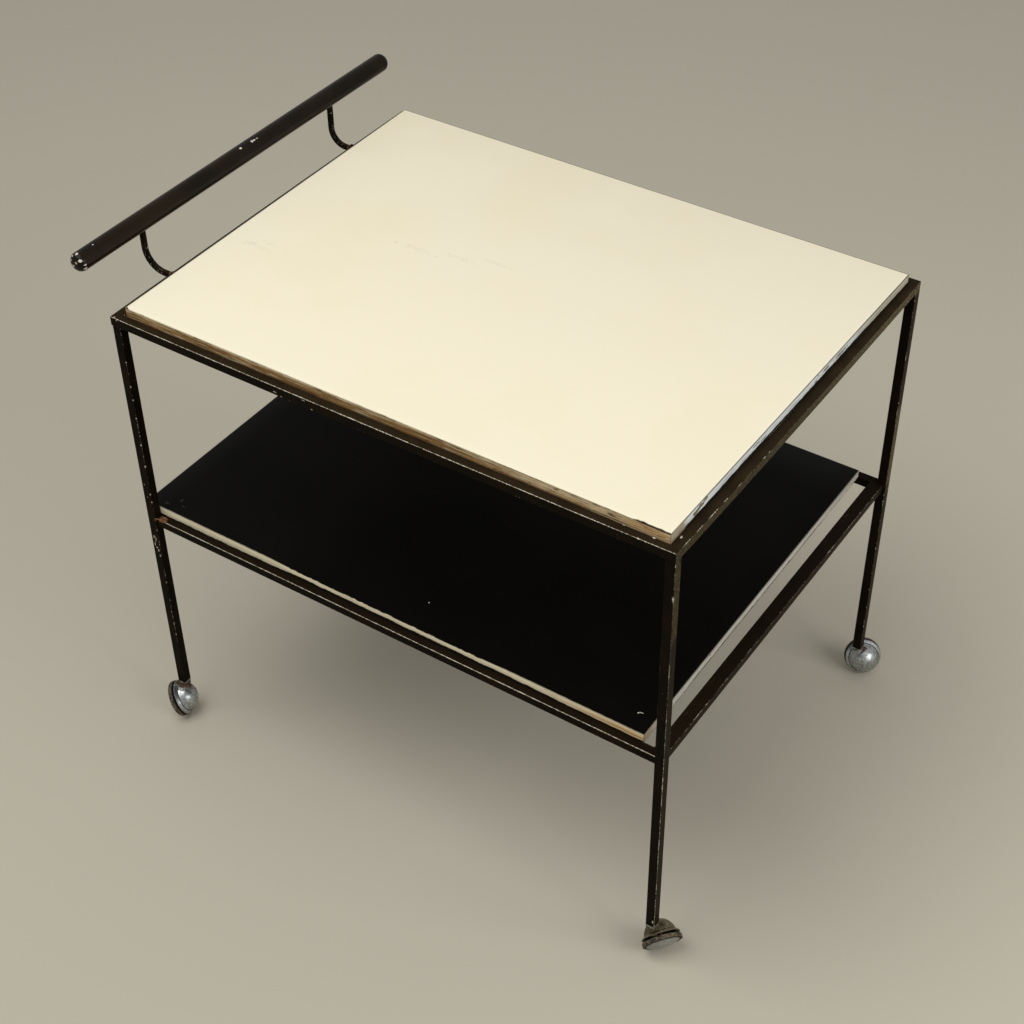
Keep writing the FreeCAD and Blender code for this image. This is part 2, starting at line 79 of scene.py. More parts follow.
class TrolleySizes(PropertyGroup):
    """Sizes that shape the pieces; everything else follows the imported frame."""

    leg_round: length_setting("Leg corner", "Corner radius of the leg tubes", 0.7)
    rail_round: length_setting("Rail corner", "Corner radius of the rail tubes", 0.6)
    wear_reach: length_setting("Wear reach", "How far bare metal creeps from a tube corner", 0.6)
    sheet_edge: length_setting("Laminate arris", "Filed edge of the top's sheet", 0.35)
    chip_depth: length_setting("Chip depth", "How deep chips bite into an edge band", 0.5)
    rod_radius: length_setting("Rod radius", "Radius of the bent handle rods", 4.0)
    front_bend: length_setting("Front rod bend", "Centre-line radius of the front rod", 27.0)
    back_bend: length_setting("Back rod bend", "Centre-line radius of the back rod", 22.0)
    grip_radius: length_setting("Grip radius", "Radius of the push bar", 12.1)
    grip_length: length_setting("Grip length", "Length of the push bar", 576.0)
    grip_overhang: length_setting("Grip overhang", "Push bar in front of the front rod", 109.3)
    grip_round: length_setting("Grip end round", "Rounding of the push bar's ends", 9.0)
    grip_bite: length_setting("Rod depth in grip", "How far the rods run into the bar", 8.0)


class TrolleyColours(PropertyGroup):
    """Colours of the finishes."""

    enamel: colour_setting("Enamel", "Brushed black enamel of the frame", "#15110b")
    enamel_warm: colour_setting("Aged enamel", "Enamel gone brown with age", "#1d150c")
    primer: colour_setting("Bare edge", "Primer and steel bared at worn edges", "#d6cfbd")
    # painted sheen: olive lightening of the outer faces turned right, as if lit from the right
    right_sheen: colour_setting("Film of dust", "Olive film on the faces turned right", "#4b422c")
    rust: colour_setting("Rust", "Rust on welds and castors", "#5f4120")
    cream: colour_setting("Cream laminate", "Sheet on the top board", "#f1e9cf")
    cream_yellow: colour_setting("Yellowed laminate", "Slightly yellowed areas", "#efe5c6")
    kraft: colour_setting("Kraft core", "Dark core of the laminate sheet", "#4a3a28")
    ply_pale: colour_setting("Pale ply", "Clean veneer on the bare edge", "#c9b48d")
    # painted shade: brown laid over the lower part of the bare edge
    ply_shade: colour_setting("Brown ply", "Stained veneer on the bare edge", "#8c6a40")
    ply_orange: colour_setting("Orange stain", "Varnish stain on the bare edge", "#cf9f5f")
    band: colour_setting("Edge band", "Painted strip on the board's sides", "#dfe3e1")
    shelf: colour_setting("Shelf laminate", "Black sheet on the shelf", "#080706")
    shelf_edge: colour_setting("Shelf edge", "Bare front edge of the shelf", "#e6dcbd")
    shelf_tan: colour_setting("Shelf edge, tan", "Varnished end of that edge", "#e3c08c")
    lacquer: colour_setting("Lacquer", "Gloss lacquer of the push bar", "#15100a")
    plate: colour_setting("Plating", "Worn plating of the castor hoods", "#bfc6ca")
    dust: colour_setting("Tyre dust", "Dust trodden into the tyres", "#685840")
    rubber: colour_setting("Rubber", "Rubber of the tyres", "#17120c")
    cap: colour_setting("Wheel cap", "Grey enamel of the wheel caps", "#7c7d76")
    floor: colour_setting("Floor", "Plain floor", "#bdb7a6")


class TrolleySettings(PropertyGroup):
    """All the settings of the trolley."""

    sizes: PointerProperty(type=TrolleySizes, name="Sizes", description="Sizes of pieces")
    colours: PointerProperty(type=TrolleyColours, name="Colours", description="Finishes")


# ------------------------------------------------------------------ materials
def add_node(tree, kind, inputs=None, **settings):
    """Adds one node; inputs maps a socket to a plain value or to a wire."""
    made = tree.nodes.new(kind)
    for key, value in settings.items():
        setattr(made, key, value)
    for socket, value in (inputs or {}).items():
        if isinstance(value, Wire):
            tree.links.new(value.socket, made.inputs[socket])
        else:
            made.inputs[socket].default_value = value
    return made


def maths(tree, operation, first, second=0.0):
    made = add_node(tree, "ShaderNodeMath", {0: first, 1: second}, operation=operation)
    return Wire(tree, made.outputs[0])


def whole(colour):
    """A wire as it is; a hex code or a colour setting as the numbers a socket takes."""
    if isinstance(colour, Wire):
        return colour
    return (*(linear(colour) if isinstance(colour, str) else colour), 1.0)


class Wire:
    """A node's output. Arithmetic on wires adds the nodes for it; | takes the larger."""

    def __init__(self, tree, socket):
        self.tree, self.socket = tree, socket

    def __add__(self, other):
        return maths(self.tree, "ADD", self, other)

    def __sub__(self, other):
        return maths(self.tree, "SUBTRACT", self, other)

    def __rsub__(self, other):
        return maths(self.tree, "SUBTRACT", other, self)

    def __mul__(self, other):
        return maths(self.tree, "MULTIPLY", self, other)

    def __or__(self, other):
        return maths(self.tree, "MAXIMUM", self, other)

    def __abs__(self):
        return maths(self.tree, "ABSOLUTE", self)

    def remap(self, low, high, to_low=0.0, to_high=1.0, way="LINEAR"):
        """Maps low to high on to another range, held at its two ends."""
        made = add_node(self.tree, "ShaderNodeMapRange", {
            "Value": self, "From Min": low, "From Max": high, "To Min": to_low,
            "To Max": to_high}, interpolation_type=way)
        return Wire(self.tree, made.outputs["Result"])

    def step(self, low, high):
        """0 below low, 1 above high, smooth between."""
        return self.remap(low, high, way="SMOOTHSTEP")

    def fall(self, low, high):
        """1 below low, 0 above high, smooth between."""
        return 1.0 - self.step(low, high)

    def between(self, full, none):
        """1 within full mm of nought on both sides, 0 beyond none mm."""
        return self.step(-none * MM, -full * MM) * self.fall(full * MM, none * MM)


class Finish:
    """A material in the making: its nodes, the surface point and the colour so far."""

    def __init__(self, name):
        self.material = bpy.data.materials.new(name)
        self.material.use_nodes = True
        self.tree = self.material.node_tree
        self.tree.nodes.clear()
        self.place = self.node("ShaderNodeTexCoord", output="Object")
        self.body = None

    def node(self, kind, inputs=None, output=0, **settings):
        return Wire(self.tree, add_node(self.tree, kind, inputs, **settings).outputs[output])

    def split(self, vector):
        made = add_node(self.tree, "ShaderNodeSeparateXYZ", {0: vector})
        return [Wire(self.tree, socket) for socket in made.outputs]

    def axes(self):
        """X, Y and Z of the surface point, in metres."""
        return self.split(self.place)

    def normal(self):
        """X, Y and Z of the way the surface faces."""
        return self.split(self.node("ShaderNodeNewGeometry", output="Normal"))

    def attribute(self, name):
        return self.node("ShaderNodeAttribute", output="Fac", attribute_name=name)

    def grain(self, size, stretch=(1, 1, 1), detail=3.0):
        """Noise in blotches of about size mm, longer along an axis with stretch over 1."""
        scaled = self.node("ShaderNodeVectorMath", {
            0: self.place, 1: [1 / (size * MM * s) for s in stretch]}, operation="MULTIPLY")
        return self.node("ShaderNodeTexNoise", {
            "Vector": scaled, "Scale": 1.0, "Detail": detail, "Roughness": 0.55}, "Fac")

    def stray(self, size, spread, stretch=(1, 1, 1), detail=3.0):
        """Grain turned into plus or minus half the spread."""
        return (self.grain(size, stretch, detail) - 0.5) * spread

    def marks(self, spots, ragged=0.35, size=1.6):
        """Share covered by marks, each (x, y, z) and its three half lengths in mm."""
        nearest = None
        for spot in spots:
            gap = self.place
            for operation, lengths in (("SUBTRACT", spot[:3]), ("DIVIDE", spot[3:])):
                gap = self.node("ShaderNodeVectorMath", {
                    0: gap, 1: [v * MM for v in lengths]}, operation=operation)
            gap = self.node("ShaderNodeVectorMath", {0: gap}, "Value", operation="LENGTH")
            nearest = gap if nearest is None else maths(self.tree, "MINIMUM", nearest, gap)
        return (nearest + self.stray(size, 4 * ragged)).fall(0.8, 1.05)

    def blend(self, share, first, second):
        """second over first by share."""
        return self.node("ShaderNodeMix", {0: share, 6: whole(first), 7: whole(second)}, 2,
                         data_type="RGBA")

    def coat(self, share, colour):
        """Lays a colour over the body by share."""
        self.body = self.blend(share, self.body, colour)

    def done(self, bump=None, **inputs):
        """Wires the body up and returns the material; bump is the wire for its height,
        the full height in mm and the strength."""
        if bump:
            height, depth, strength = bump
            inputs["Normal"] = self.node("ShaderNodeBump", {
                "Strength": strength, "Distance": depth * MM, "Height": height})
        shader = self.node("ShaderNodeBsdfPrincipled", {
            "Base Color": whole(self.body),
            **{key.replace("_", " "): value for key, value in inputs.items()}})
        add_node(self.tree, "ShaderNodeOutputMaterial", {"Surface": shader})
        return self.material


FRAME_CHIPS = [
    # front top rail: face, then arris near its right end, mm
    (-119, -286.5, 651, 2.6, 2, 0.9), (-110, -286.5, 648, 1.6, 2, 1.1),
    (-78, -286.5, 656, 2.4, 2, 0.8), (-67, -286.5, 648, 1.4, 2, 1.1),
    (349.3, -286, 659, 1.9, 1.4, 0.9), (326.8, -275.8, 659, 2.0, 1.0, 0.8),
    (362.7, -276.6, 659, 1.8, 0.9, 0.8), (385, -260.3, 659, 1.2, 2.2, 0.8),
    (-361, -285, 659, 1.2, 1.0, 0.8), (-353.5, -275, 659, 1.0, 0.8, 0.8),
    (-356.5, -286.5, 657, 0.9, 2, 0.8),
    # upper arris of the right top rail, near the front
    (394.1, -267, 659, 0.55, 11, 0.5), (394.5, -239, 659, 0.55, 9, 0.5),
    (394.7, -212, 659, 0.55, 12, 0.5), (394.9, -186, 659, 0.5, 5, 0.5),
    (395.2, -158, 659, 0.5, 6, 0.5), (395.4, -104, 659, 0.5, 4, 0.5),
    # corner of the front left leg
    (-355.0, -285.0, 596, 0.8, 1.4, 0.9), (-354.9, -285.0, 560, 0.8, 1.4, 1.6),
    (-355.2, -285.0, 512, 0.9, 1.4, 0.9), (-354.8, -285.0, 540, 0.7, 1.4, 0.8),
    (-355.3, -285.0, 470, 1.0, 1.4, 1.2), (-354.9, -285.0, 436, 0.8, 1.4, 1.8),
    (-355.2, -285.0, 391, 0.9, 1.4, 1.4), (-354.9, -285.0, 378, 0.8, 1.4, 1.2),
    # squiggles of bare primer on that leg, above and below the shelf
    (-362.4, -285.3, 315, 0.9, 2, 2.4), (-360.8, -285.3, 318, 2.0, 2, 0.9),
    (-359.4, -285.3, 314, 0.9, 2, 2.4), (-360.6, -285.3, 310, 1.4, 2, 0.8),
    (-362.2, -285.3, 304, 0.9, 2, 3.4), (-360.4, -285.3, 299, 1.8, 2, 0.9),
    (-358.0, -285.3, 295, 0.9, 2, 2.8), (-356.8, -285.3, 286, 0.8, 2, 2.0),
    (-355.0, -285.0, 240, 0.6, 1.4, 1.4), (-355.2, -285.0, 186, 0.6, 1.4, 1.0),
    (-362.4, -285.3, 404, 0.7, 2, 0.9), (-360.6, -285.3, 384, 0.6, 2, 0.7),
    # front right leg: knock on its corner, nick near its foot
    (393.0, -285.0, 596, 1.3, 1.3, 4.4), (391.2, -285.3, 61, 0.9, 1.6, 3.0),
]
# round the weld spot on the front lower rail, then at the two rod ends, mm
FRAME_RUST = [(-345.6, -280.5, 349.5, 6.5, 6, 3), (-353, -285, 349, 3, 2, 3),
              (-366.4, -177.5, 654.2, 5.5, 6, 5.5), (-366.4, 174, 657.5, 5.5, 6, 5.5)]


def enamelled_steel(colours, rod=False):
    """Mild steel under hand-brushed black enamel: satin black with soft brush lines,
    brown dust on top, a painted olive sheen on the faces turned right, as if lit from
    the right, and pale primer showing in broken specks along rubbed corners."""
    steel = Finish("brushed_enamel_on_rod" if rod else "brushed_enamel_on_steel_tube")
    # paint wears through in runs of some 30 mm that break up into specks of 1 to 2 mm
    runs = steel.stray(30, 1.0, detail=2.0)
    ragged = steel.stray(1.5, 1.7, detail=2.0)
    worn = (steel.attribute("edge_wear") + (runs + ragged)).step(0.6, 0.74)
    worn = worn | steel.marks(FRAME_CHIPS)
    # a few specks of bare metal, about 1 mm across and far apart
    worn = worn | steel.grain(1.9, detail=1.0).step(0.81, 0.84)
    rusty = steel.marks(FRAME_RUST, 0.3, 2.2)
    aged = steel.grain(45, detail=4.0).step(0.4, 0.68)
    steel.body = steel.blend(aged, colours.enamel, colours.enamel_warm)
    right, _, up = steel.normal()
    x, y, z = steel.axes()
    # dust lies evenly on top, a little thicker in drifts of some 30 mm
    drifts = steel.grain(30, detail=5.0).remap(0.3, 0.7, 0.35, 0.8)
    dust = steel.blend(z.fall(400 * MM, 500 * MM), "#33281a", "#221a11")
    steel.coat(up.step(0.6, 0.95) * drifts, dust)
    # painted sheen of light from the right: strongest on the top rail and towards the back,
    # patchy on the legs
    speckled = right.step(0.6, 0.95) * steel.grain(1.7).step(0.3, 0.64)
    patches = steel.marks([(393.6, -279, 590, 9, 12, 62), (393.6, 283, 410, 9, 12, 70)],
                          0.3, 14)
    thick = (z.step(642 * MM, 648 * MM) | patches) * 0.85 + 0.12
    right_sheen = steel.blend(y.step(-150 * MM, 240 * MM), colours.right_sheen, "#625740")
    steel.coat(speckled * x.step(380 * MM, 386 * MM) * thick, right_sheen)
    steel.coat(worn, steel.blend(steel.grain(2.4).step(0.4, 0.6), "#91876f", colours.primer))
    steel.coat(rusty, steel.blend(steel.grain(1.5), colours.rust, "#8f6a4b"))
    # brush lines about 2 mm apart and lumps from thick paint
    height = steel.grain(2.0, detail=2.0) * 0.35 - worn
    gloss = ((worn | rusty) + aged * 0.25).remap(0, 1, 0.36, 0.6)
    return steel.done((height, 0.12, 0.6), Roughness=gloss, IOR=1.5,
                      Specular_IOR_Level=0.015)


def cream_laminate(colours, top):
    """Melamine laminate, hot pressed: smooth satin cream sheet with a hard dark kraft
    core that shows as a thin line along its cut edge, lightly scuffed by use."""
    sheet = Finish("cream_melamine_laminate")
    x, _, z = sheet.axes()
    yellowed = sheet.grain(160, detail=2.0).step(0.4, 0.75)
    sheet.body = sheet.blend(yellowed * 0.6, colours.cream, colours.cream_yellow)
    scuffs = sheet.marks([
        (-307, -92, 672.5, 26, 5, 3), (-292, -80, 672.5, 12, 3, 3),
        (-132, 7, 672.5, 30, 4, 3), (-80, 18, 672.5, 24, 3, 3), (-34, 32, 672.5, 18, 3, 3)],
        0.8, 9)
    sheet.coat(scuffs * sheet.grain(3).step(0.45, 0.6) * 0.35, "#cfc6ac")
    # hairline scratches 0.4 mm wide and some 60 mm long
    sheet.coat(sheet.grain(0.9, (70, 1, 1), 1.0).step(0.72, 0.78) * 0.1, "#cdc4aa")
    # cream paint laps the cut edge on the left and thins out towards the right, where
    # only the upper 0.9 mm is cream; below it the kraft core is dark, broken by filler
    below = (top - z) * (1 / MM)
    lap = 1.8 - x.step(-0.15, 0.2) * 0.9 + sheet.stray(11, 1.0)
    patchy = sheet.grain(7, (2.5, 2.5, 0.5)).step(0.36, 0.5)
    sheet.coat((below - lap).step(0.0, 0.15), sheet.blend(patchy, "#b3a482", colours.kraft))
    return sheet.done((sheet.grain(1.2), 0.02, 0.3), Roughness=0.45, IOR=1.5,
                      Specular_IOR_Level=0.35)


def black_laminate(colours, front):
    """Melamine laminate in black: even satin sheet that reflects weakly, with a little
    dust and a few light nicks, rubbed through to its pale core along the front edge."""
    sheet = Finish("black_melamine_laminate")
    x, y, _ = sheet.axes()
    sheet.body = sheet.blend(sheet.grain(120).step(0.35, 0.7), colours.shelf, "#0c0a08")
    sheet.coat(sheet.grain(2.4, detail=1.0).step(0.78, 0.84) * 0.12, "#5b554a")
    nicks = sheet.marks([
        (337.2, -246.4, 361.5, 0.9, 1.1, 2), (338.6, -244.6, 361.5, 1.1, 0.7, 2),
        (341.0, -244.2, 361.5, 1.3, 0.6, 2), (35.3, -229.2, 361.5, 1.0, 0.9, 2)], 0.2)
    sheet.coat(nicks, "#cfc9ba")
    smears = sheet.marks([(-352, -262, 361.5, 3.5, 1.2, 2), (-340, -248, 361.5, 1, 3, 2),
                          (-330, -256, 361.5, 2.2, 0.8, 2)], 0.6)
    sheet.coat(smears * 0.35, "#5e5d5a")
    # rubbed 1 to 2 mm back from the front edge towards both ends, hardly at all between
    back = (y - front) * (1 / MM)
    limit = x.between(130, 190) * -1.6 + (sheet.stray(9, 1.6) + 1.5)
    bare = sheet.blend(back.step(0.02, 0.1), colours.shelf_edge, "#9c947c")
    sheet.coat((back - limit).fall(-0.2, 0.2), bare)
    return sheet.done((sheet.grain(1.0), 0.02, 0.3), Roughness=0.42, IOR=1.5,
                      Specular_IOR_Level=0.05)


def ply_edge(colours, bottom):
    """Birch plywood, sawn and bare: thin veneers, alternately along and across the grain,
    weathered pale under the sheet, then stained tan to brown in streaks, browned towards
    the foot by painted shade and dark at the foot, with a cleaner length towards the right
    and varnish at that corner."""
    ply = Finish("bare_birch_plywood_edge")
    x, _, z = ply.axes()
    rise = (z - bottom) * (1 / MM)
    # veneers waver by a millimetre over some 60 mm
    level = rise + ply.stray(60, 3.4)
    clean = (x + ply.stray(50, 0.16)).step(130 * MM, 240 * MM)
    streaks = ply.grain(1.3, (30, 1, 1), 4.0)
    tan = ply.blend(clean, "#9a794a", "#d9c298")
    ply.body = ply.blend(level.step(8.4, 10.6), tan, colours.ply_pale)
    # painted shade: brown over the lowest 2 to 4 mm, darkening the edge towards its foot
    ply.coat(level.fall(1.6, 4.0) * 0.8, colours.ply_shade)
    # stains and splinters: tongues 2 to 3 mm high and 20 to 60 mm long
    stained = ply.grain(2.6, (18, 1, 1)).step(0.5, 0.58) * (1.0 - clean * 0.4)
    ply.coat(stained * 0.6, "#7f5b34")
    ply.coat(ply.grain(2.0, (9, 1, 1), 5.0).step(0.56, 0.62) * 0.8, "#4f3720")
    ply.coat(streaks.step(0.55, 0.63) * 0.75, "#e3d3ac")
    # varnish run at the right-hand corner
    varnish = ply.marks([(352, -275.8, 666, 30, 4, 4.4), (270, -275.8, 663, 34, 4, 1.6),
                         (150, -275.8, 662, 26, 4, 1.6)], 0.5, 5)
    ply.coat(varnish * 0.5, colours.ply_orange)
    # dark glue lines every 2.4 mm between veneers, broken over some 60 mm
    glue = maths(ply.tree, "PINGPONG", level, 1.2).fall(0.1, 0.42)
    glue = glue * ply.grain(8, (7, 1, 0.4)).step(0.44, 0.55)
    ply.coat(glue * 0.6, "#3d2b18")
    # the lowest millimetre: planed pale at the right, near-black elsewhere
    foot = ply.blend(x.step(0.27, 0.33), "#2f2215", "#bfac88")
    ply.coat(rise.fall(1.0, 1.8) * 0.55, foot)
    # old glue darkens the ledge where the sheet has broken away
    ply.coat(ply.normal()[2].step(0.5, 0.8), "#2c1c0e")
    return ply.done((streaks, 0.25, 0.7), Roughness=0.68, IOR=1.45, Specular_IOR_Level=0.2)


def shelf_edge_wood(colours, top):
    """Blockboard edge, sanded and sized: flat pale beige with fine specks, turning tan
    towards the right where varnish has soaked in; near-black along its lower edge,
    reaching higher over the middle."""
    wood = Finish("sized_blockboard_edge")
    x, _, z = wood.axes()
    below = (top - z) * (1 / MM)
    tan = (x + wood.stray(40, 0.12)).step(190 * MM, 340 * MM)
    fibres = wood.grain(1.2, (26, 26, 1), 4.0)
    wood.body = wood.blend(tan, colours.shelf_edge, colours.shelf_tan)
    wood.coat(fibres.step(0.45, 0.7) * 0.35, "#8b8069")
    # a dark seam wavers along the varnished end, some 4 mm down
    seam = abs(below + wood.stray(30, 3.0) - 4.4).fall(0.3, 0.8) * tan
    wood.coat(seam * 0.75, "#4a3019")
    # darker along the lower edge: near-black, reaching higher over the middle
    raised_middle = x.step(-200 * MM, -110 * MM) * (3.0 - x.step(130 * MM, 330 * MM) * 2.2)
    dark_foot = (below + raised_middle + wood.grain(7, (2, 2, 1), 4.0) * 4.2).step(11.0, 11.6)
    wood.coat(dark_foot, "#17130e")
    return wood.done((fibres, 0.12, 0.5), Roughness=0.62, IOR=1.45, Specular_IOR_Level=0.3)


def painted_band(name, bottom, lip, tint, aged):
    """Wood strip under thick grey-white paint: brushed satin face, with a ragged black
    lower edge, a broken dark joint under the laminate and brown wood where it is
    chipped. lip is how high the joint lies, mm."""
    band = Finish(name)
    _, y, z = band.axes()
    rise = (z - bottom) * (1 / MM)
    wavy = y.between(150, 190) + 1.5 + band.grain(12, detail=4.0) * 3.4
    fade = (y + band.stray(60, 0.1)).step(110 * MM, 190 * MM)
    band.body = band.blend(fade, tint, aged)
    # brush marks run along the strip, 2 mm wide, darker where dirt stayed in them
    band.coat(band.grain(2.2, (1, 20, 1), 4.0).step(0.5, 0.62) * 0.45, "#7d7b70")
    joint = (rise + band.stray(6, 1.4, (1, 3, 1))).step(lip - 0.25, lip)
    band.coat(joint * 0.8, "#4a463c")
    # a ragged near-black band along the lower edge
    band.coat((rise - wavy).fall(-0.5, 0.2), "#14110d")
    wood = band.blend(band.grain(2, (1, 8, 1)), "#5a4a32", "#948565")
    band.coat(band.attribute("chipped").step(0.35, 0.6), wood)
    dirty = band.marks([(382.6, 100, 667, 3, 18, 2.2), (382.6, -100, 668, 3, 9, 1.0),
                        (382.6, 62, 667, 3, 9, 2.0), (382.6, -84, 665, 3, 8, 1.2),
                        (382.6, 38, 664, 3, 4, 1.6)], 0.6, 3)
    band.coat(dirty * 0.8, "#5f5d53")
    # yellowed by the near corner, and bare end grain where the strip was sawn off
    corner = (y + band.stray(7, 0.03)).fall(-257 * MM, -240 * MM)
    band.coat(corner * 0.8, "#8d7c5a")
    band.coat(abs(band.normal()[1]).step(0.5, 0.8), wood)
    return band.done((band.grain(2.5), 0.1, 0.5), Roughness=0.5, IOR=1.5)


# knocks in the bar: reach from its near end, then across and up from its axis, size, mm
BAR_KNOCKS = (
    (6, -0.4, 11.8, 1.7), (3, 7.4, 6.2, 1.9), (0.4, 3, 3.4, 1.4), (1, -5.7, 4.5, 1.1),
    (0.5, -2.5, -2, 1.5), (3, -5, 8.9, 1.2), (5.5, 11.4, 1, 1.2), (6, 10.9, -4.5, 1.8),
    (34, -8, 9, 0.9), (30, 2, 12, 0.7), (286, 3.5, 11.6, 1.5), (307, 3.9, 11.4, 1.6),
    (311, 4.1, 11.3, 1.3), (316, 4.4, 11.3, 1.0))


def bar_lacquer(colours, start, along):
    """Turned beech under black gloss lacquer: deep black with a soft band of reflection
    and pale wood where the near end and a few knocks have lost their lacquer."""
    bar = Finish("black_gloss_lacquer_on_beech")
    knocks = []
    for reach, across, up, size in BAR_KNOCKS:
        point = (start + along * reach * MM) / MM + Vector((across, 0, up))
        knocks.append((*point, size, size * 1.4, size))
    bare = bar.marks(knocks, 0.65, 1.1)
    bar.body = bar.blend(bar.grain(70).step(0.4, 0.7), colours.lacquer, "#1f170c")
    bar.coat(bare, bar.blend(bar.grain(2.2).step(0.5, 0.64), "#d2cdc0", "#8a6038"))
    ripple = bar.grain(5, (1, 7, 1))
    return bar.done((ripple * 0.3 - bare, 0.15, 0.5), IOR=1.5, Specular_IOR_Level=0.12,
                    Roughness=(bare + ripple * 0.2).remap(0, 1, 0.24, 0.6))


def worn_plating(colours):
    """Nickel-plated steel, pressed and long in use: mottled silver with soft scratches,
    dull brown rust round the stem, dirt in the groove and a painted olive-brown
    reflection of the floor."""
    plate = Finish("worn_nickel_plated_steel")
    mottled = plate.grain(3.5, detail=5.0)
    uneven = (mottled - 0.5) * 1.2 + plate.stray(1.3, 1.0, detail=4.0)
    rusty = (plate.attribute("rust") + uneven).step(0.42, 0.7)
    metal = plate.blend(mottled.step(0.35, 0.7), colours.plate, "#8f8d84")
    dull = plate.attribute("floor_reflection")
    # painted reflection: an olive-brown cast over the metal stands for the floor reflected in it
    plate.body = plate.blend((dull + (mottled - 0.5) * 0.9).step(0.3, 0.9), metal, "#7a6f4e")
    oxide = plate.blend(plate.grain(1.6).step(0.35, 0.65), "#20150a", colours.rust)
    # painted reflection: the same olive cast laid over the rust
    plate.coat(rusty, plate.blend(dull * 0.9, oxide, "#4b412b"))
    dirt = (plate.attribute("dirt") + plate.stray(1.8, 0.5)).step(0.45, 0.6)
    plate.coat(dirt, "#100d0a")
    foul = rusty | dirt
    return plate.done((mottled, 0.12, 0.5), Metallic=1.0 - foul,
                      Roughness=(foul + mottled * 0.4).remap(0, 1, 0.28, 0.8))


def dusty_rubber(colours):
    """Moulded rubber: dark and matt, caked with tan dust and light grit, its shoulders blackened
    as painted shade.
    """
    rubber = Finish("dusty_moulded_rubber")
    caked = rubber.grain(3.2, detail=4.0).step(0.42, 0.58)
    rubber.body = rubber.blend(caked * 0.8, colours.rubber, colours.dust)
    rubber.coat(rubber.grain(1.0, detail=1.0).step(0.64, 0.7) * 0.75, "#b5a98c")
    # painted shade: the shoulders are blackened for the dark gaps beside the hood and the cap
    rubber.coat(rubber.attribute("shaded_shoulder").step(0.3, 0.8) * 0.85, "#0e0c09")
    return rubber.done((caked, 0.3, 0.7), Roughness=0.8, IOR=1.5)


def cap_enamel(colours):
    """Sheet steel under thin grey enamel: dull and even, rubbed and dusty at the rim."""
    cap = Finish("grey_enamel_on_pressed_steel")
    cap.body = cap.blend(cap.grain(5, detail=4.0).step(0.35, 0.7), colours.cap, "#8f8f88")
    cap.coat((cap.attribute("rust") + cap.grain(2.5)).step(0.95, 1.15), "#4c4234")
    return cap.done((cap.grain(1.5), 0.08, 0.5), Roughness=0.45, IOR=1.5)


def plain_steel(name, tint, dark, roughness):
    """Small steel part, zinc plated or turned: grey metal with darker clouds of
    handling and dust."""
    steel = Finish(name)
    steel.body = steel.blend(steel.grain(2.2, detail=4.0).step(0.38, 0.66), tint, dark)
    return steel.done((steel.grain(1.0), 0.05, 0.5), Metallic=0.8, Roughness=roughness)


def weld_metal(colours, name, rust):
    """Weld bead left rough and painted over: dark scale with rust showing through."""
    weld = Finish(name)
    patchy = weld.grain(2.4, detail=4.0).step(0.4, 0.62)
    weld.body = weld.blend(patchy, colours.enamel, rust)
    return weld.done((weld.grain(1.6), 0.4, 0.8), Roughness=0.6, IOR=1.5,
                     Specular_IOR_Level=0.3)


# ------------------------------------------------------------------ modelling
NEAR = 1e-7          # points closer than this are one
SLACK = 1e-6         # points picked by their place may be off by this
RING_STEP = 40 * MM  # tubes have a ring of points about this often, to bend on
CHIP_STEP = 3 * MM   # chipped and torn edges have points about this often
LITTLE_WEAR = 0.2    # wear on the long edges of a tube that no table names


def finish_piece(name, bm, material, body, nodes=(), crease=38):
    """Writes the bmesh as a piece at the origin that rides on a body for its nodes."""
    for face in bm.faces:
        face.smooth = True
    for edge in bm.edges:
        edge.smooth = edge.is_boundary or edge.calc_face_angle(0) < math.radians(crease)
    mesh = bpy.data.meshes.new(name)
    bm.to_mesh(mesh)
    bm.free()
    mesh.materials.append(material)
    piece = bpy.data.objects.new(name, mesh)
    bpy.context.scene.collection.objects.link(piece)
    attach(piece, body)
    if nodes:
        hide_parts(*nodes)


def everything(bm):
    return bm.verts[:] + bm.edges[:] + bm.faces[:]


def only_edges(geometry):
    return [item for item in geometry if isinstance(item, bmesh.types.BMEdge)]


def cut_across(bm, axis, places):
    """Adds edge loops where the mesh crosses each place on the axis."""
    normal = Vector((0, 0, 0))
    normal[axis] = 1
    for where in places:
        bmesh.ops.bisect_plane(bm, geom=everything(bm), plane_co=normal * where,
                               plane_no=normal, dist=NEAR)


def cut_evenly(bm, axis, low, high, count, power=1):
    """Cuts into count lengths along an axis, shorter towards low with power over 1."""
    cut_across(bm, axis, [low[axis] + (high[axis] - low[axis]) * (i / count) ** power
                          for i in range(1, count)])


def block(low, high):
    """Box between two corners."""
    bm = bmesh.new()
    bmesh.ops.create_cube(bm, size=1.0)
    bmesh.ops.scale(bm, vec=high - low, verts=bm.verts)
    bmesh.ops.translate(bm, vec=(high + low) / 2, verts=bm.verts)
    return bm


def edges_along(bm, axis):
    return [e for e in bm.edges
            if abs((e.verts[1].co - e.verts[0].co).normalized()[axis]) > 0.999]


def edges_at(bm, height):
    return [e for e in bm.edges if all(abs(v.co.z - height) < SLACK for v in e.verts)]


def ease(bm, edges, offset, segments=2):
    """Rounds edges off."""
    bmesh.ops.bevel(bm, geom=edges, offset=offset, offset_type="OFFSET", affect="EDGES",
                    segments=segments, profile=0.5, material=-1)


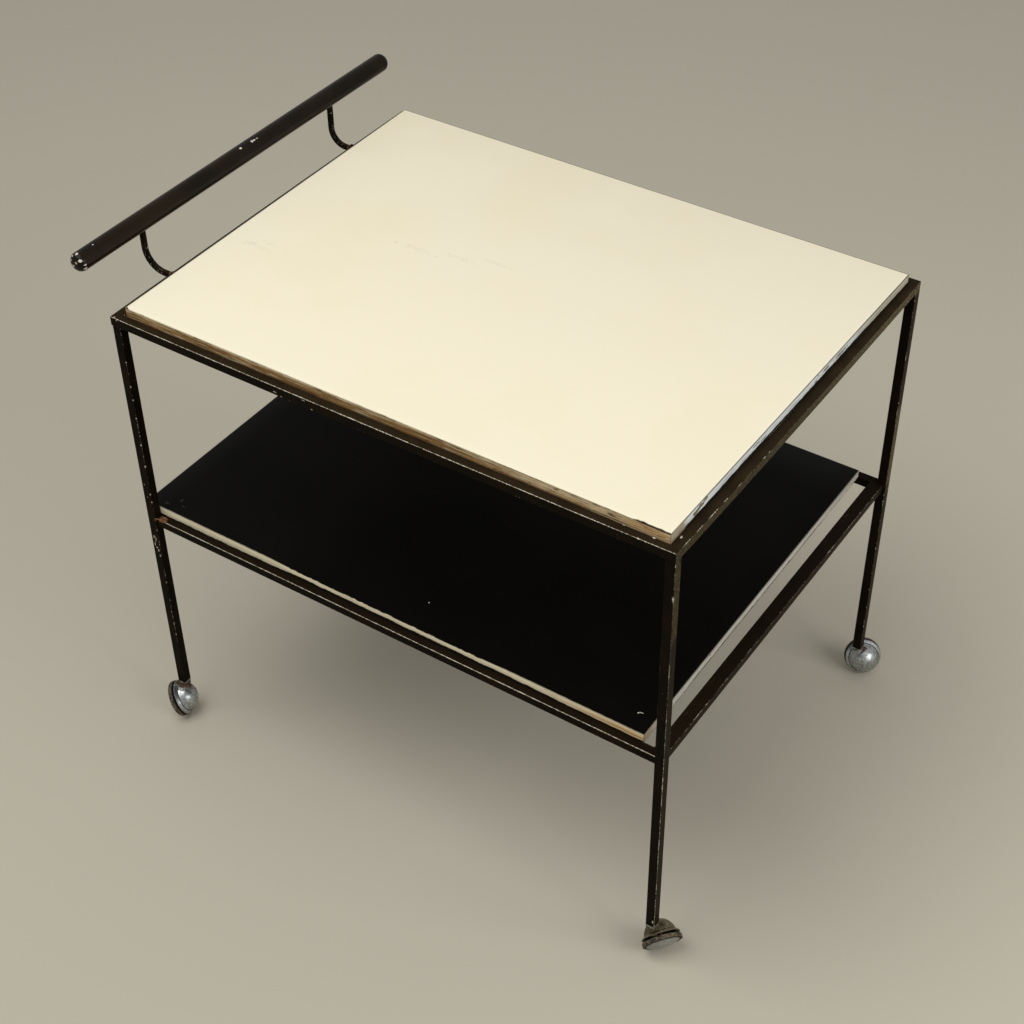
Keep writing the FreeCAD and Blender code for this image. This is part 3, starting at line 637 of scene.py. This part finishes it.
def worn_tube(low, high, run, corner, reach, wear, mitres=(), sway=None):
    """Square tube with rounded corners and the share of wear on each long edge.
    wear maps the two signs of an edge, in the order of its cross axes, to a share;
    sway gives the shift at a share of the tube's length and an offset from its centre."""
    bm = block(low, high)
    for point, normal in mitres:
        cut = bmesh.ops.bisect_plane(bm, geom=everything(bm), plane_co=point,
                                     plane_no=normal, clear_outer=True, dist=NEAR)
        bmesh.ops.holes_fill(bm, edges=only_edges(cut["geom_cut"]))
    ease(bm, edges_along(bm, run), corner, 4)
    cross = [axis for axis in range(3) if axis != run]
    inset = corner + reach
    for axis in cross:
        cut_across(bm, axis, (low[axis] + inset, high[axis] - inset))
    cut_evenly(bm, run, low, high, max(2, round((high[run] - low[run]) / RING_STEP)))
    layer = bm.verts.layers.float.new("edge_wear")
    centre, half = (low + high) / 2, (high - low) / 2
    for vert in bm.verts:
        away = [vert.co[axis] - centre[axis] for axis in cross]
        into = [abs(a) - half[axis] + corner for a, axis in zip(away, cross)]
        if min(into) > -SLACK:
            # most on the very corner, 55 % less where the round runs into the flats
            turn = math.atan2(*into) / (math.pi / 4)
            most = wear.get(tuple(1 if a > 0 else -1 for a in away), LITTLE_WEAR)
            vert[layer] = most * (1 - 0.55 * abs(turn - 1))
        if sway:
            share = (vert.co[run] - low[run]) / (high[run] - low[run])
            vert.co += sway(share, vert.co - centre)
    return bm


def out_of_square(bm, low, high, left, right, front, power=1.0):
    """Slides a board's edges in plan, as cut and laid, in mm: left and right are shifts
    along X at the front and at the back, front is the shift along Y at its left and
    right. A power under 1 brings the back's shift forward."""
    for vert in bm.verts:
        u = (vert.co.x - low.x) / (high.x - low.x)
        v = max(0.0, min(1.0, (vert.co.y - low.y) / (high.y - low.y))) ** power
        vert.co.x += (1 - u) * (left[0] + (left[1] - left[0]) * v) * MM
        vert.co.x += u * (right[0] + (right[1] - right[0]) * v) * MM
        vert.co.y += (1 - v) * (front[0] + (front[1] - front[0]) * u) * MM
    return bm


def turned(moves, place, steps=72):
    """Turns a profile about its own Z axis. It starts at (radius, height); each further
    move is (radius, height) for a line or (radius, height, degrees) for an arc about
    that centre, counted from the radius axis towards the height axis. Millimetres."""
    bm = bmesh.new()
    tip = bm.verts.new((moves[0][0] * MM, 0, moves[0][1] * MM))
    for radius, height, *degrees in moves[1:]:
        point = (radius * MM, 0, height * MM)
        if degrees:
            made = bmesh.ops.spin(bm, geom=[tip], cent=point, axis=(0, 1, 0),
                                  angle=-math.radians(degrees[0]),
                                  steps=max(3, round(abs(degrees[0]) / 7)))
            tip = made["geom_last"][0]
        else:
            start, tip = tip, bm.verts.new(point)
            bm.edges.new((start, tip))
    bmesh.ops.remove_doubles(bm, verts=bm.verts, dist=NEAR)
    bmesh.ops.spin(bm, geom=bm.verts[:] + bm.edges[:], cent=(0, 0, 0), axis=(0, 0, 1),
                   angle=math.tau, steps=steps, use_merge=True)
    bmesh.ops.remove_doubles(bm, verts=bm.verts, dist=2e-6)
    bmesh.ops.recalc_face_normals(bm, faces=bm.faces)
    bmesh.ops.transform(bm, matrix=place, verts=bm.verts)
    return bm


def facing(point, direction):
    """Matrix that puts a turned shape's base at point with its Z along direction."""
    turn = Vector(direction).to_track_quat("Z", "Y").to_matrix().to_4x4()
    return Matrix.Translation(point) @ turn


def settings(context):
    return context.scene.trolley.sizes, context.scene.trolley.colours


# ------------------------------------------------------------------ operators
class TROLLEY_OT_tube_frame(Operator):
    """Build the welded tube frame with its worn corners"""

    bl_idname = "trolley.tube_frame"
    bl_label = "Tube frame"

    def execute(self, context):
        sizes, colours = settings(context)
        enamel = enamelled_steel(colours)

        def weld_in(node, run, corner, wear, mitres=(), sway=None):
            tube = worn_tube(*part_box(node), run, corner, sizes.wear_reach, wear, mitres,
                             sway)
            finish_piece("enamelled_" + node, tube, enamel, "frame", [node])

        # each leg: how it is rubbed, and how far it leans along X at its top, mm
        legs = {
            "front_left": ({(-1, -1): 0.5, (1, -1): 0.46, (1, 1): 0.42}, 0.0),
            "front_right": ({(1, -1): 0.74, (-1, -1): 0.42, (1, 1): 0.36}, 0.0),
            "back_right": ({(1, -1): 0.5, (1, 1): 0.3}, 1.5),
            "back_left": ({}, -1.6),
        }
        for corner, (wear, lean) in legs.items():
            weld_in("leg_" + corner, 2, sizes.leg_round, wear,
                    sway=lambda up, off: Vector((lean * MM * up, 0, 0)))
        outer_low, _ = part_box("leg_front_left")
        _, outer_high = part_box("leg_back_right")
        corners = [(outer_low.x, outer_low.y), (outer_high.x, outer_low.y),
                   (outer_high.x, outer_high.y), (outer_low.x, outer_high.y)]
        # the frame was welded a little out of true, mm: its corners, and rails bowed out
        drift = [Vector((0, -1.2, 0)), Vector((0, -0.2, 0)), Vector((1.2, 0, 0)),
                 Vector((-1.8, 0, 0))]
        # each rail: axis, its two frame corners, bow and where its edges are rubbed
        top_rails = {
            "top_rail_front": (0, 0, 1, (0, -1.4), {(-1, 1): 1.15, (-1, -1): 0.4}),
            "top_rail_right": (1, 1, 2, (1.6, 0), {(1, 1): 0.36, (-1, 1): 0.3}),
            "top_rail_back": (0, 3, 2, (0, 0), {(1, 1): 0.55}),
            "top_rail_left": (1, 0, 3, (-0.9, 0), {(-1, 1): 0.5}),
        }
        for node, (run, start, end, bow, wear) in top_rails.items():
            middle = sum(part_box(node), Vector()) / 2
            mitres = []
            for which in (start, end):
                corner = Vector((*corners[which], middle.z))
                inward = Vector((-math.copysign(1, corner.x), -math.copysign(1, corner.y), 0))
                across = Vector((inward.y, -inward.x, 0))
                if across.dot(middle - corner) > 0:
                    across = -across
                mitres.append((corner, across))

            def sway(share, off):
                inner = max(0.0, min(1.0, share))
                # the side under the board gives way less
                held = 1.0 if off.xy.dot(Vector(bow)) > 0 else 0.3
                return (drift[start].lerp(drift[end], inner) + Vector((*bow, 0)) * held
                        * math.sin(math.pi * inner) ** 0.6) * MM

            weld_in(node, run, sizes.rail_round, wear, mitres, sway)
        lower = {
            "lower_rail_front": (0, {(-1, 1): 1.4}), "lower_rail_back": (0, {(1, 1): 0.5}),
            "lower_rail_right": (1, {(1, 1): 0.62, (-1, 1): 0.4}),
            "lower_rail_left": (1, {(-1, 1): 0.5}), "shelf_cross_bar": (1, {}),
        }
        for node, (run, wear) in lower.items():
            weld_in(node, run, sizes.rail_round, wear)
        for side in ("left", "right"):
            weld_in("lower_end_strip_" + side, 1, 0.3 * MM, {(1, 1): 0.3})
        return {"FINISHED"}


def edge_band(node, sizes, chips):
    """Thin strip with its arrises eased and its chips bitten into the outer face;
    chips are (place along it, share of its height, reach), mm."""
    low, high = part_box(node)
    across = int(node.endswith("back"))
    along = 1 - across
    bm = block(low, high)
    ease(bm, bm.edges[:], 0.2 * MM)
    cut_evenly(bm, 2, low, high, 9)
    cut_evenly(bm, along, low, high, round((high[along] - low[along]) / CHIP_STEP))
    layer = bm.verts.layers.float.new("chipped")
    outward = math.copysign(1, (low[across] + high[across]) / 2)
    face = high[across] if outward > 0 else low[across]
    deepest = min(sizes.chip_depth, 0.45 * (high - low)[across])
    for vert in bm.verts:
        if abs(vert.co[across] - face) > 0.3 * MM:
            continue
        bite = 0.0
        for place, level, reach in chips:
            centre = Vector((place * MM, low.z + level * (high.z - low.z)))
            gap = Vector((vert.co[along], vert.co.z)) - centre
            gap.y *= 1.8  # chips are wider than they are high
            ragged = noise.noise(vert.co * 260) * 0.4
            bite = max(bite, 1 - gap.length / (reach * MM) + ragged)
        bite = max(0.0, min(1.0, 2 * bite))
        vert[layer] = bite
        vert.co[across] -= outward * bite * deepest
    return bm


def band_edges(sizes, board, paint, chips):
    """Adds the painted strips round a board; chips maps each strip's node to its chips."""
    for node, places in chips.items():
        strip = out_of_square(edge_band(node, sizes, places), *board)
        finish_piece("painted_" + node, strip, paint, "frame", [node])


class TROLLEY_OT_top_board(Operator):
    """Build the cream laminated top with its bare front edge and painted side bands"""

    bl_idname = "trolley.top_board"
    bl_label = "Top board"

    def execute(self, context):
        sizes, colours = settings(context)
        low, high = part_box("top_laminate")
        board = (low, high, (1.6, -1.8), (-0.8, 1.6), (-1.0, 0.0))
        sheet = block(low, high)
        ease(sheet, edges_at(sheet, high.z), sizes.sheet_edge)
        cut_evenly(sheet, 0, low, high, round((high.x - low.x) / CHIP_STEP))
        cut_across(sheet, 1, [low.y + 8 * MM])
        for vert in sheet.verts:
            if vert.co.y < low.y + 1 * MM:
                # the sheet is broken back at the right-hand end and at the left corner
                at, rough = vert.co.x / MM, noise.noise(Vector((vert.co.x * 150, 0, 3)))
                right = min(1.0, max(0.0, (at - 336) / 7)) * (1.9 + 1.3 * rough)
                left = min(1.0, max(0.0, (-343 - at) / 7)) ** 2 * 3.4
                small = max(0.0, noise.noise(Vector((vert.co.x * 60, 0, 9))) - 0.35) * 1.6
                vert.co.y += max(right, left, small, 0.0) * MM
        out_of_square(sheet, *board)
        finish_piece("cream_laminate_sheet", sheet, cream_laminate(colours, high.z), "frame",
                     ["top_laminate"])
        low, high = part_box("top_panel_core")
        core = block(low, high)
        # points some 4 mm apart along and 1 mm apart up, for the sawn edge
        cut_evenly(core, 0, low, high, 180)
        cut_evenly(core, 2, low, high, 10)
        for vert in core.verts:
            if abs(vert.co.y - low.y) < SLACK:
                # sawn edge: crushed and eased here and there by a few tenths
                rough = noise.noise(vert.co * 70) + 0.5 * noise.noise(vert.co * 300)
                vert.co.y += 0.35 * MM * max(0.0, rough)
        out_of_square(core, *board)
        finish_piece("bare_plywood_top_core", core, ply_edge(colours, low.z), "frame",
                     ["top_panel_core"])
        paint = painted_band("grey_paint_on_wood_strip", low.z, 12.3, colours.band, "#b8b29c")
        band_edges(sizes, board, paint, {
            "top_edge_band_right": [(-226, 0.45, 8), (-216, 0.6, 7), (-206, 0.75, 5),
                                    (-258, 0.2, 3), (42, 0.8, 3)],
            "top_edge_band_left": [(120, 0.3, 4), (-160, 0.8, 3)],
            "top_edge_band_back": [(-60, 0.3, 5), (210, 0.7, 4)]})
        return {"FINISHED"}


class TROLLEY_OT_shelf(Operator):
    """Build the black laminated shelf with its pale edges"""

    bl_idname = "trolley.shelf"
    bl_label = "Shelf"

    def execute(self, context):
        sizes, colours = settings(context)
        low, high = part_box("shelf_laminate")
        board = (low, high, (0, 0), (2.4, -1.4), (0, 0), 0.5)
        sheet = block(low, high)
        ease(sheet, edges_at(sheet, high.z), 0.25 * MM)
        black = black_laminate(colours, low.y)
        low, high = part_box("shelf_core")
        core = block(low, high)
        ease(core, edges_along(core, 0), 0.3 * MM)
        wood = shelf_edge_wood(colours, high.z)
        for name, bm, material, slot, node in (
                ("black_laminate_sheet", sheet, black, "shelf_laminate", "shelf_laminate"),
                ("blockboard_shelf_core", core, wood, "plywood", "shelf_core")):
            # points for the edges to bend on, closer together towards the front
            cut_evenly(bm, 0, *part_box(node), 24)
            cut_evenly(bm, 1, *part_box(node), 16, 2)
            out_of_square(bm, *board)
            finish_piece(name, bm, material, "frame", [node])
        # the ragged black lower edge reaches 2 mm less far up this strip than up the top's
        paint = painted_band("off_white_paint_on_wood_strip", low.z - 2 * MM, 12.8,
                             "#c8c3b6", "#c2bcae")
        band_edges(sizes, board, paint, {
            "shelf_edge_band_right": [(-120, 0.7, 3), (80, 0.2, 3)],
            "shelf_edge_band_left": [(60, 0.4, 3)], "shelf_edge_band_back": [(0, 0.5, 3)]})
        return {"FINISHED"}


def bent_rod(low, high, radius, bend):
    """Round rod that leaves the rail along -X and turns up through a right angle."""
    bm = bmesh.new()
    foot = Vector((high.x, (low.y + high.y) / 2, low.z + radius))
    bmesh.ops.create_circle(bm, segments=28, radius=radius, matrix=Matrix.Translation(foot)
                            @ Matrix.Rotation(math.pi / 2, 4, "Y"))
    turn = Vector((low.x + radius + bend, foot.y, foot.z + bend))

    def draw_out(edges, shift):
        made = bmesh.ops.extrude_edge_only(bm, edges=edges)["geom"]
        bmesh.ops.translate(bm, vec=shift, verts=[g for g in made
                                                  if isinstance(g, bmesh.types.BMVert)])
        return [e for e in only_edges(made)
                if all(v in made for v in e.verts) and len(e.link_faces) == 1]

    ring = draw_out(bm.edges[:], Vector((turn.x - foot.x, 0, 0)))
    arc = bmesh.ops.spin(bm, geom=ring, cent=turn, axis=(0, 1, 0), angle=math.pi / 2,
                         steps=14)["geom_last"]
    draw_out(only_edges(arc), Vector((0, 0, high.z - turn.z)))
    bmesh.ops.remove_doubles(bm, verts=bm.verts, dist=SLACK)
    bmesh.ops.holes_fill(bm, edges=bm.edges[:])
    bmesh.ops.recalc_face_normals(bm, faces=bm.faces)
    layer = bm.verts.layers.float.new("edge_wear")
    for vert in bm.verts:
        # knocked about round the bend
        on_bend = vert.co.x < turn.x + bend * 0.4 and vert.co.z < turn.z + bend * 0.3
        vert[layer] = 0.38 if on_bend else 0.1
    return bm


def lumpy(bm, amount, size):
    """Pushes a bead's skin in and out a little, as molten metal sets."""
    bm.normal_update()
    for vert in bm.verts:
        vert.co += vert.normal * amount * noise.noise(vert.co / size)


# bead round a rod where it meets the rail: radius and height off the rail, mm
BEAD_PROFILE = [(3.9, 0), (6.0, 0), (6.0, 0.5), (4.6, 1.9), (4.1, 2.3), (3.9, 2.3), (3.9, 0)]
WELD_LUMPS, WELD_CREASE = 0.35 * MM, 60


class TROLLEY_OT_push_handle(Operator):
    """Build the push bar, its two bent rods and their weld beads"""

    bl_idname = "trolley.push_handle"
    bl_label = "Push handle"

    def execute(self, context):
        sizes, colours = settings(context)
        enamel = enamelled_steel(colours, rod=True)
        bead_metal = weld_metal(colours, "painted_weld_bead", "#33261a")
        grip = {}
        beads = bmesh.new()
        for end, bend in (("front", sizes.front_bend), ("back", sizes.back_bend)):
            node = "handle_rod_" + end
            low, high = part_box(node)
            rod = bent_rod(low, high, sizes.rod_radius, bend)
            finish_piece("enamelled_" + node, rod, enamel, "frame", [node])
            foot = Vector((high.x, (low.y + high.y) / 2, low.z + sizes.rod_radius))
            grip[end] = Vector((low.x + sizes.rod_radius, foot.y,
                                high.z + sizes.grip_radius - sizes.grip_bite))
            bead = turned(BEAD_PROFILE, facing(foot, (-1, 0, 0)), 36)
            lumpy(bead, WELD_LUMPS, 2.5 * MM)
            mesh = bpy.data.meshes.new("bead")
            bead.to_mesh(mesh)
            bead.free()
            beads.from_mesh(mesh)
            bpy.data.meshes.remove(mesh)
        # no lump runs into the rail
        for vert in beads.verts:
            vert.co.x = min(vert.co.x, foot.x)
        finish_piece("handle_weld_beads", beads, bead_metal, "frame",
                     ["handle_rod_welds"], WELD_CREASE)
        along = (grip["back"] - grip["front"]).normalized()
        start = grip["front"] - along * sizes.grip_overhang
        radius, length, ease_end = (v / MM for v in (
            sizes.grip_radius, sizes.grip_length, sizes.grip_round))
        bar = turned([(0, 0), (radius - ease_end, 0), (radius - ease_end, ease_end, 90),
                      *((radius, length * share) for share in (0.25, 0.5, 0.75)),
                      (radius, length - ease_end),
                      (radius - ease_end, length - ease_end, 90), (0, length)],
                     facing(start, along))
        finish_piece("lacquered_push_bar", bar, bar_lacquer(colours, start, along), "frame",
                     ["handle_bar"])
        return {"FINISHED"}


# castor profiles: radius, and distance along the axle from the middle of the tyre, mm
GROOVE_START, GROOVE_END = 9.5, 10.12
# flared rim, groove and dome; then the inner face back to the rim
HOOD_PROFILE = [(24.5, 5.95), (24.5, 6.35), (21.4, 9.3), (20.9, 9.6), (19.9, 9.65),
                (19.9, 10.1), (20.32, 10.15), (0, 6.7, 80.4), (0, 25.6), (0, 6.7, -79.6),
                (18.3, 10.1), (22.8, 5.95), (24.5, 5.95)]
TYRE_HALF = 2.9
TYRE_PROFILE = [(22.2, -TYRE_HALF), (24.1, -TYRE_HALF), (24.1, -1.7, 90), (25.3, 1.7),
                (24.1, 1.7, 90), (22.2, TYRE_HALF), (22.2, -TYRE_HALF)]
CAP_BULGE, CAP_RADIUS, CAP_EDGE, CAP_SHEET = 4.8, 21.2, 1.2, 1.0
# the neck under the frame's socket, from its swivel point: two heights and radii, mm
NECK_LOW, NECK_HIGH, NECK_FOOT, NECK_TOP = -16.0, -2.9, 6.4, 8.0
# rust round the neck: how far it spreads, mm, how much of it is one-sided and which
# way, then how much painted olive reflection of the floor lies on the whole hood
HOOD_RUST_AND_REFLECTION = {"front_left": (19, 0.2, (0.3, -1), 0.0), "front_right": (5, 0.0, (1, 0), 0.8),
            "back_right": (12, 1.0, (1, 1), 0.25), "back_left": (6, 0.0, (1, 0), 0.1)}


class TROLLEY_OT_castors(Operator):
    """Build the four ball castors: hood, tyre and wheel cap"""

    bl_idname = "trolley.castors"
    bl_label = "Castors"

    def execute(self, context):
        _, colours = settings(context)
        plating, rubber = worn_plating(colours), dusty_rubber(colours)
        enamel = cap_enamel(colours)
        # shallow pressed cap with its rolled edge against the tyre
        curve = (CAP_RADIUS ** 2 + CAP_BULGE ** 2) / (2 * CAP_BULGE)
        crown = -TYRE_HALF - CAP_BULGE
        cap_profile = [(0, crown), (0, crown + curve, math.degrees(math.asin(
            CAP_RADIUS / curve))), (CAP_RADIUS - CAP_EDGE, -TYRE_HALF), (0, crown + CAP_SHEET)]
        for corner in CORNERS:
            spin, swivel = JOINTS[corner + "_wheel_spin"], JOINTS[corner + "_swivel"]
            centre, axle = Vector(spin["pos_m"]), Vector(spin["axis"])
            stem = Vector(swivel["pos_m"])
            place = facing(centre, axle)
            hood = turned(HOOD_PROFILE, place)
            neck_low, neck_high = stem.z + NECK_LOW * MM, stem.z + NECK_HIGH * MM
            bmesh.ops.create_cone(
                hood, cap_ends=True, segments=40, radius1=NECK_FOOT * MM,
                radius2=NECK_TOP * MM, depth=neck_high - neck_low,
                matrix=Matrix.Translation((stem.x, stem.y, (neck_high + neck_low) / 2)))
            ease(hood, edges_at(hood, neck_high), 0.5 * MM)
            rust = hood.verts.layers.float.new("rust")
            dirt = hood.verts.layers.float.new("dirt")
            dull = hood.verts.layers.float.new("floor_reflection")
            spread, lean, side, floor_reflection = HOOD_RUST_AND_REFLECTION[corner]
            for vert in hood.verts:
                reach = (vert.co - centre).dot(axle) / MM
                off = (vert.co.xy - stem.xy) / MM
                share = 1 - max(0.0, off.length - 7) / spread
                share -= lean * (1 - off.normalized().dot(Vector(side).normalized())) / 2
                above = vert.co.z > centre.z + 4 * MM
                vert[rust] = max(0.0, min(0.85, share)) if above else 0.0
                vert[dirt] = 1.0 if GROOVE_START < reach < GROOVE_END else 0.0
                # painted reflection: how strongly the floor's olive cast lies on this hood
                vert[dull] = floor_reflection
            finish_piece("plated_hood_" + corner, hood, plating, "swivel_" + corner,
                         ["castor_hood_" + corner])
            tyre = turned(TYRE_PROFILE, place)
            # painted shade: marks the shoulders that face the gaps to the hood and the cap
            layer = tyre.verts.layers.float.new("shaded_shoulder")
            for vert in tyre.verts:
                vert[layer] = 1.0 if abs((vert.co - centre).dot(axle)) > 2.3 * MM else 0.0
            finish_piece("dusty_tyre_" + corner, tyre, rubber, "wheel_" + corner,
                         ["castor_tyre_" + corner])
            cap = turned(cap_profile, place)
            layer = cap.verts.layers.float.new("rust")
            for vert in cap.verts:
                from_axle = (vert.co - centre) - axle * (vert.co - centre).dot(axle)
                # rubbed over the outermost 4.2 mm
                vert[layer] = max(0.0, (from_axle.length / MM - 17) / 4.2) * 0.6
            finish_piece("enamelled_cap_" + corner, cap, enamel, "wheel_" + corner,
                         ["castor_wheel_cap_" + corner])
        return {"FINISHED"}


class TROLLEY_OT_small_parts(Operator):
    """Finish the small steel parts and add the weld spot on the front lower rail"""

    bl_idname = "trolley.small_parts"
    bl_label = "Small parts"

    def execute(self, context):
        _, colours = settings(context)
        zinc = plain_steel("zinc_plated_steel", "#d2d0c6", "#a19e92", 0.42)
        turned_steel = plain_steel("turned_mild_steel", "#8d8a83", "#57524a", 0.4)
        core = plain_steel("moulded_wheel_core", "#2b2924", "#171512", 0.6)
        enamel = bpy.data.materials["brushed_enamel_on_steel_tube"]
        finishes = {"castor_sockets": zinc, "top_panel_screws": zinc,
                    "panel_fixing_tabs": enamel}
        for corner in CORNERS:
            finishes["castor_stem_" + corner] = turned_steel
            finishes["castor_axle_" + corner] = turned_steel
            finishes["castor_wheel_" + corner] = core
        for node, material in finishes.items():
            for slot in frame["nodes"][node].material_slots:
                slot.material = material
        # rusted blob of weld beside the front left leg
        low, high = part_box("lower_rail_front")
        spot = turned([(0, 2.0), (0, -4.0, -38), (0, -0.2)],
                      facing((low.x + 8.4 * MM, low.y + 3.8 * MM, high.z), (0, 0, 1)), 28)
        lumpy(spot, WELD_LUMPS, 2.2 * MM)
        finish_piece("weld_spot", spot, weld_metal(colours, "rusted_weld_spot", "#b5764f"),
                     "frame", (), WELD_CREASE)
        return {"FINISHED"}


# metres, watts and millimetres
FLOOR_REACH, FLOOR_DROP, WORLD_STRENGTH = 6.0, 0.0002, 0.435
SOFTBOXES = (("key_softbox", (-0.6, -1.05, 3.2), 2.2, 51.0),
             ("side_softbox", (2.6, -0.1, 1.6), 1.6, 30.0))
LIGHT_AIM = Vector((0, 0, 0.45))
CAMERA_PLACE, LENS, SENSOR = (1.03616, -1.50656, 1.90348), 65.6, 36.0
VIEW_RIGHT, VIEW_DOWN = Vector((0.8305, 0.5569, -0.0133)), Vector((0.3560, -0.5490, -0.7562))


class TROLLEY_OT_stage(Operator):
    """Set the floor, the light and the camera"""

    bl_idname = "trolley.stage"
    bl_label = "Stage"

    def execute(self, context):
        _, colours = settings(context)
        scene = context.scene
        bm = bmesh.new()
        bmesh.ops.create_grid(bm, x_segments=1, y_segments=1, size=FLOOR_REACH)
        bmesh.ops.translate(bm, vec=(0, 0, -FLOOR_DROP), verts=bm.verts)
        mesh = bpy.data.meshes.new("floor")
        bm.to_mesh(mesh)
        bm.free()
        floor = bpy.data.objects.new("floor", mesh)
        scene.collection.objects.link(floor)
        plain = Finish("plain_matt_floor")
        plain.body = colours.floor
        mesh.materials.append(plain.done(Roughness=0.9))

        scene.world = bpy.data.worlds.new("studio")
        scene.world.use_nodes = True
        sky = scene.world.node_tree.nodes["Background"].inputs
        sky["Color"].default_value = (1, 0.985, 0.96, 1)
        sky["Strength"].default_value = WORLD_STRENGTH
        for name, where, size, power in SOFTBOXES:
            data = bpy.data.lights.new(name, "AREA")
            data.shape = "SQUARE"
            data.size = size
            data.energy = power
            lamp = bpy.data.objects.new(name, data)
            lamp.location = where
            lamp.rotation_euler = (LIGHT_AIM - Vector(where)).to_track_quat(
                "-Z", "Y").to_euler()
            scene.collection.objects.link(lamp)

        data = bpy.data.cameras.new("camera")
        data.sensor_width = SENSOR
        data.lens = LENS
        camera = bpy.data.objects.new("camera", data)
        right = VIEW_RIGHT.normalized()
        back = right.cross(-VIEW_DOWN).normalized()
        camera.matrix_world = Matrix.Translation(CAMERA_PLACE) @ Matrix(
            (right, back.cross(right), back)).transposed().to_4x4()
        scene.collection.objects.link(camera)
        scene.camera = camera
        scene.view_settings.view_transform = "Standard"
        return {"FINISHED"}


PIECES = (TROLLEY_OT_tube_frame, TROLLEY_OT_top_board, TROLLEY_OT_shelf,
          TROLLEY_OT_push_handle, TROLLEY_OT_castors, TROLLEY_OT_small_parts,
          TROLLEY_OT_stage)


class TROLLEY_PT_panel(Panel):
    """Lists the pieces of the trolley"""

    bl_idname = "TROLLEY_PT_panel"
    bl_label = "Tea Trolley"
    bl_space_type = "VIEW_3D"
    bl_region_type = "UI"
    bl_category = "Trolley"

    def draw(self, context):
        for piece in PIECES:
            self.layout.operator(piece.bl_idname)
        for group in settings(context):
            box = self.layout.box()
            for key in group.__annotations__:
                box.prop(group, key)


CLASSES = (TrolleySizes, TrolleyColours, TrolleySettings, *PIECES, TROLLEY_PT_panel)


def register():
    for item in CLASSES:
        bpy.utils.register_class(item)
    bpy.types.Scene.trolley = PointerProperty(type=TrolleySettings, name="Trolley",
                                              description="Settings of the tea trolley")


def unregister():
    del bpy.types.Scene.trolley
    for item in reversed(CLASSES):
        bpy.utils.unregister_class(item)


def main():
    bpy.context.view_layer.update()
    register()
    for piece in PIECES:
        group, action = piece.bl_idname.split(".")
        getattr(getattr(bpy.ops, group), action)()


if __name__ == "__main__":
    main()
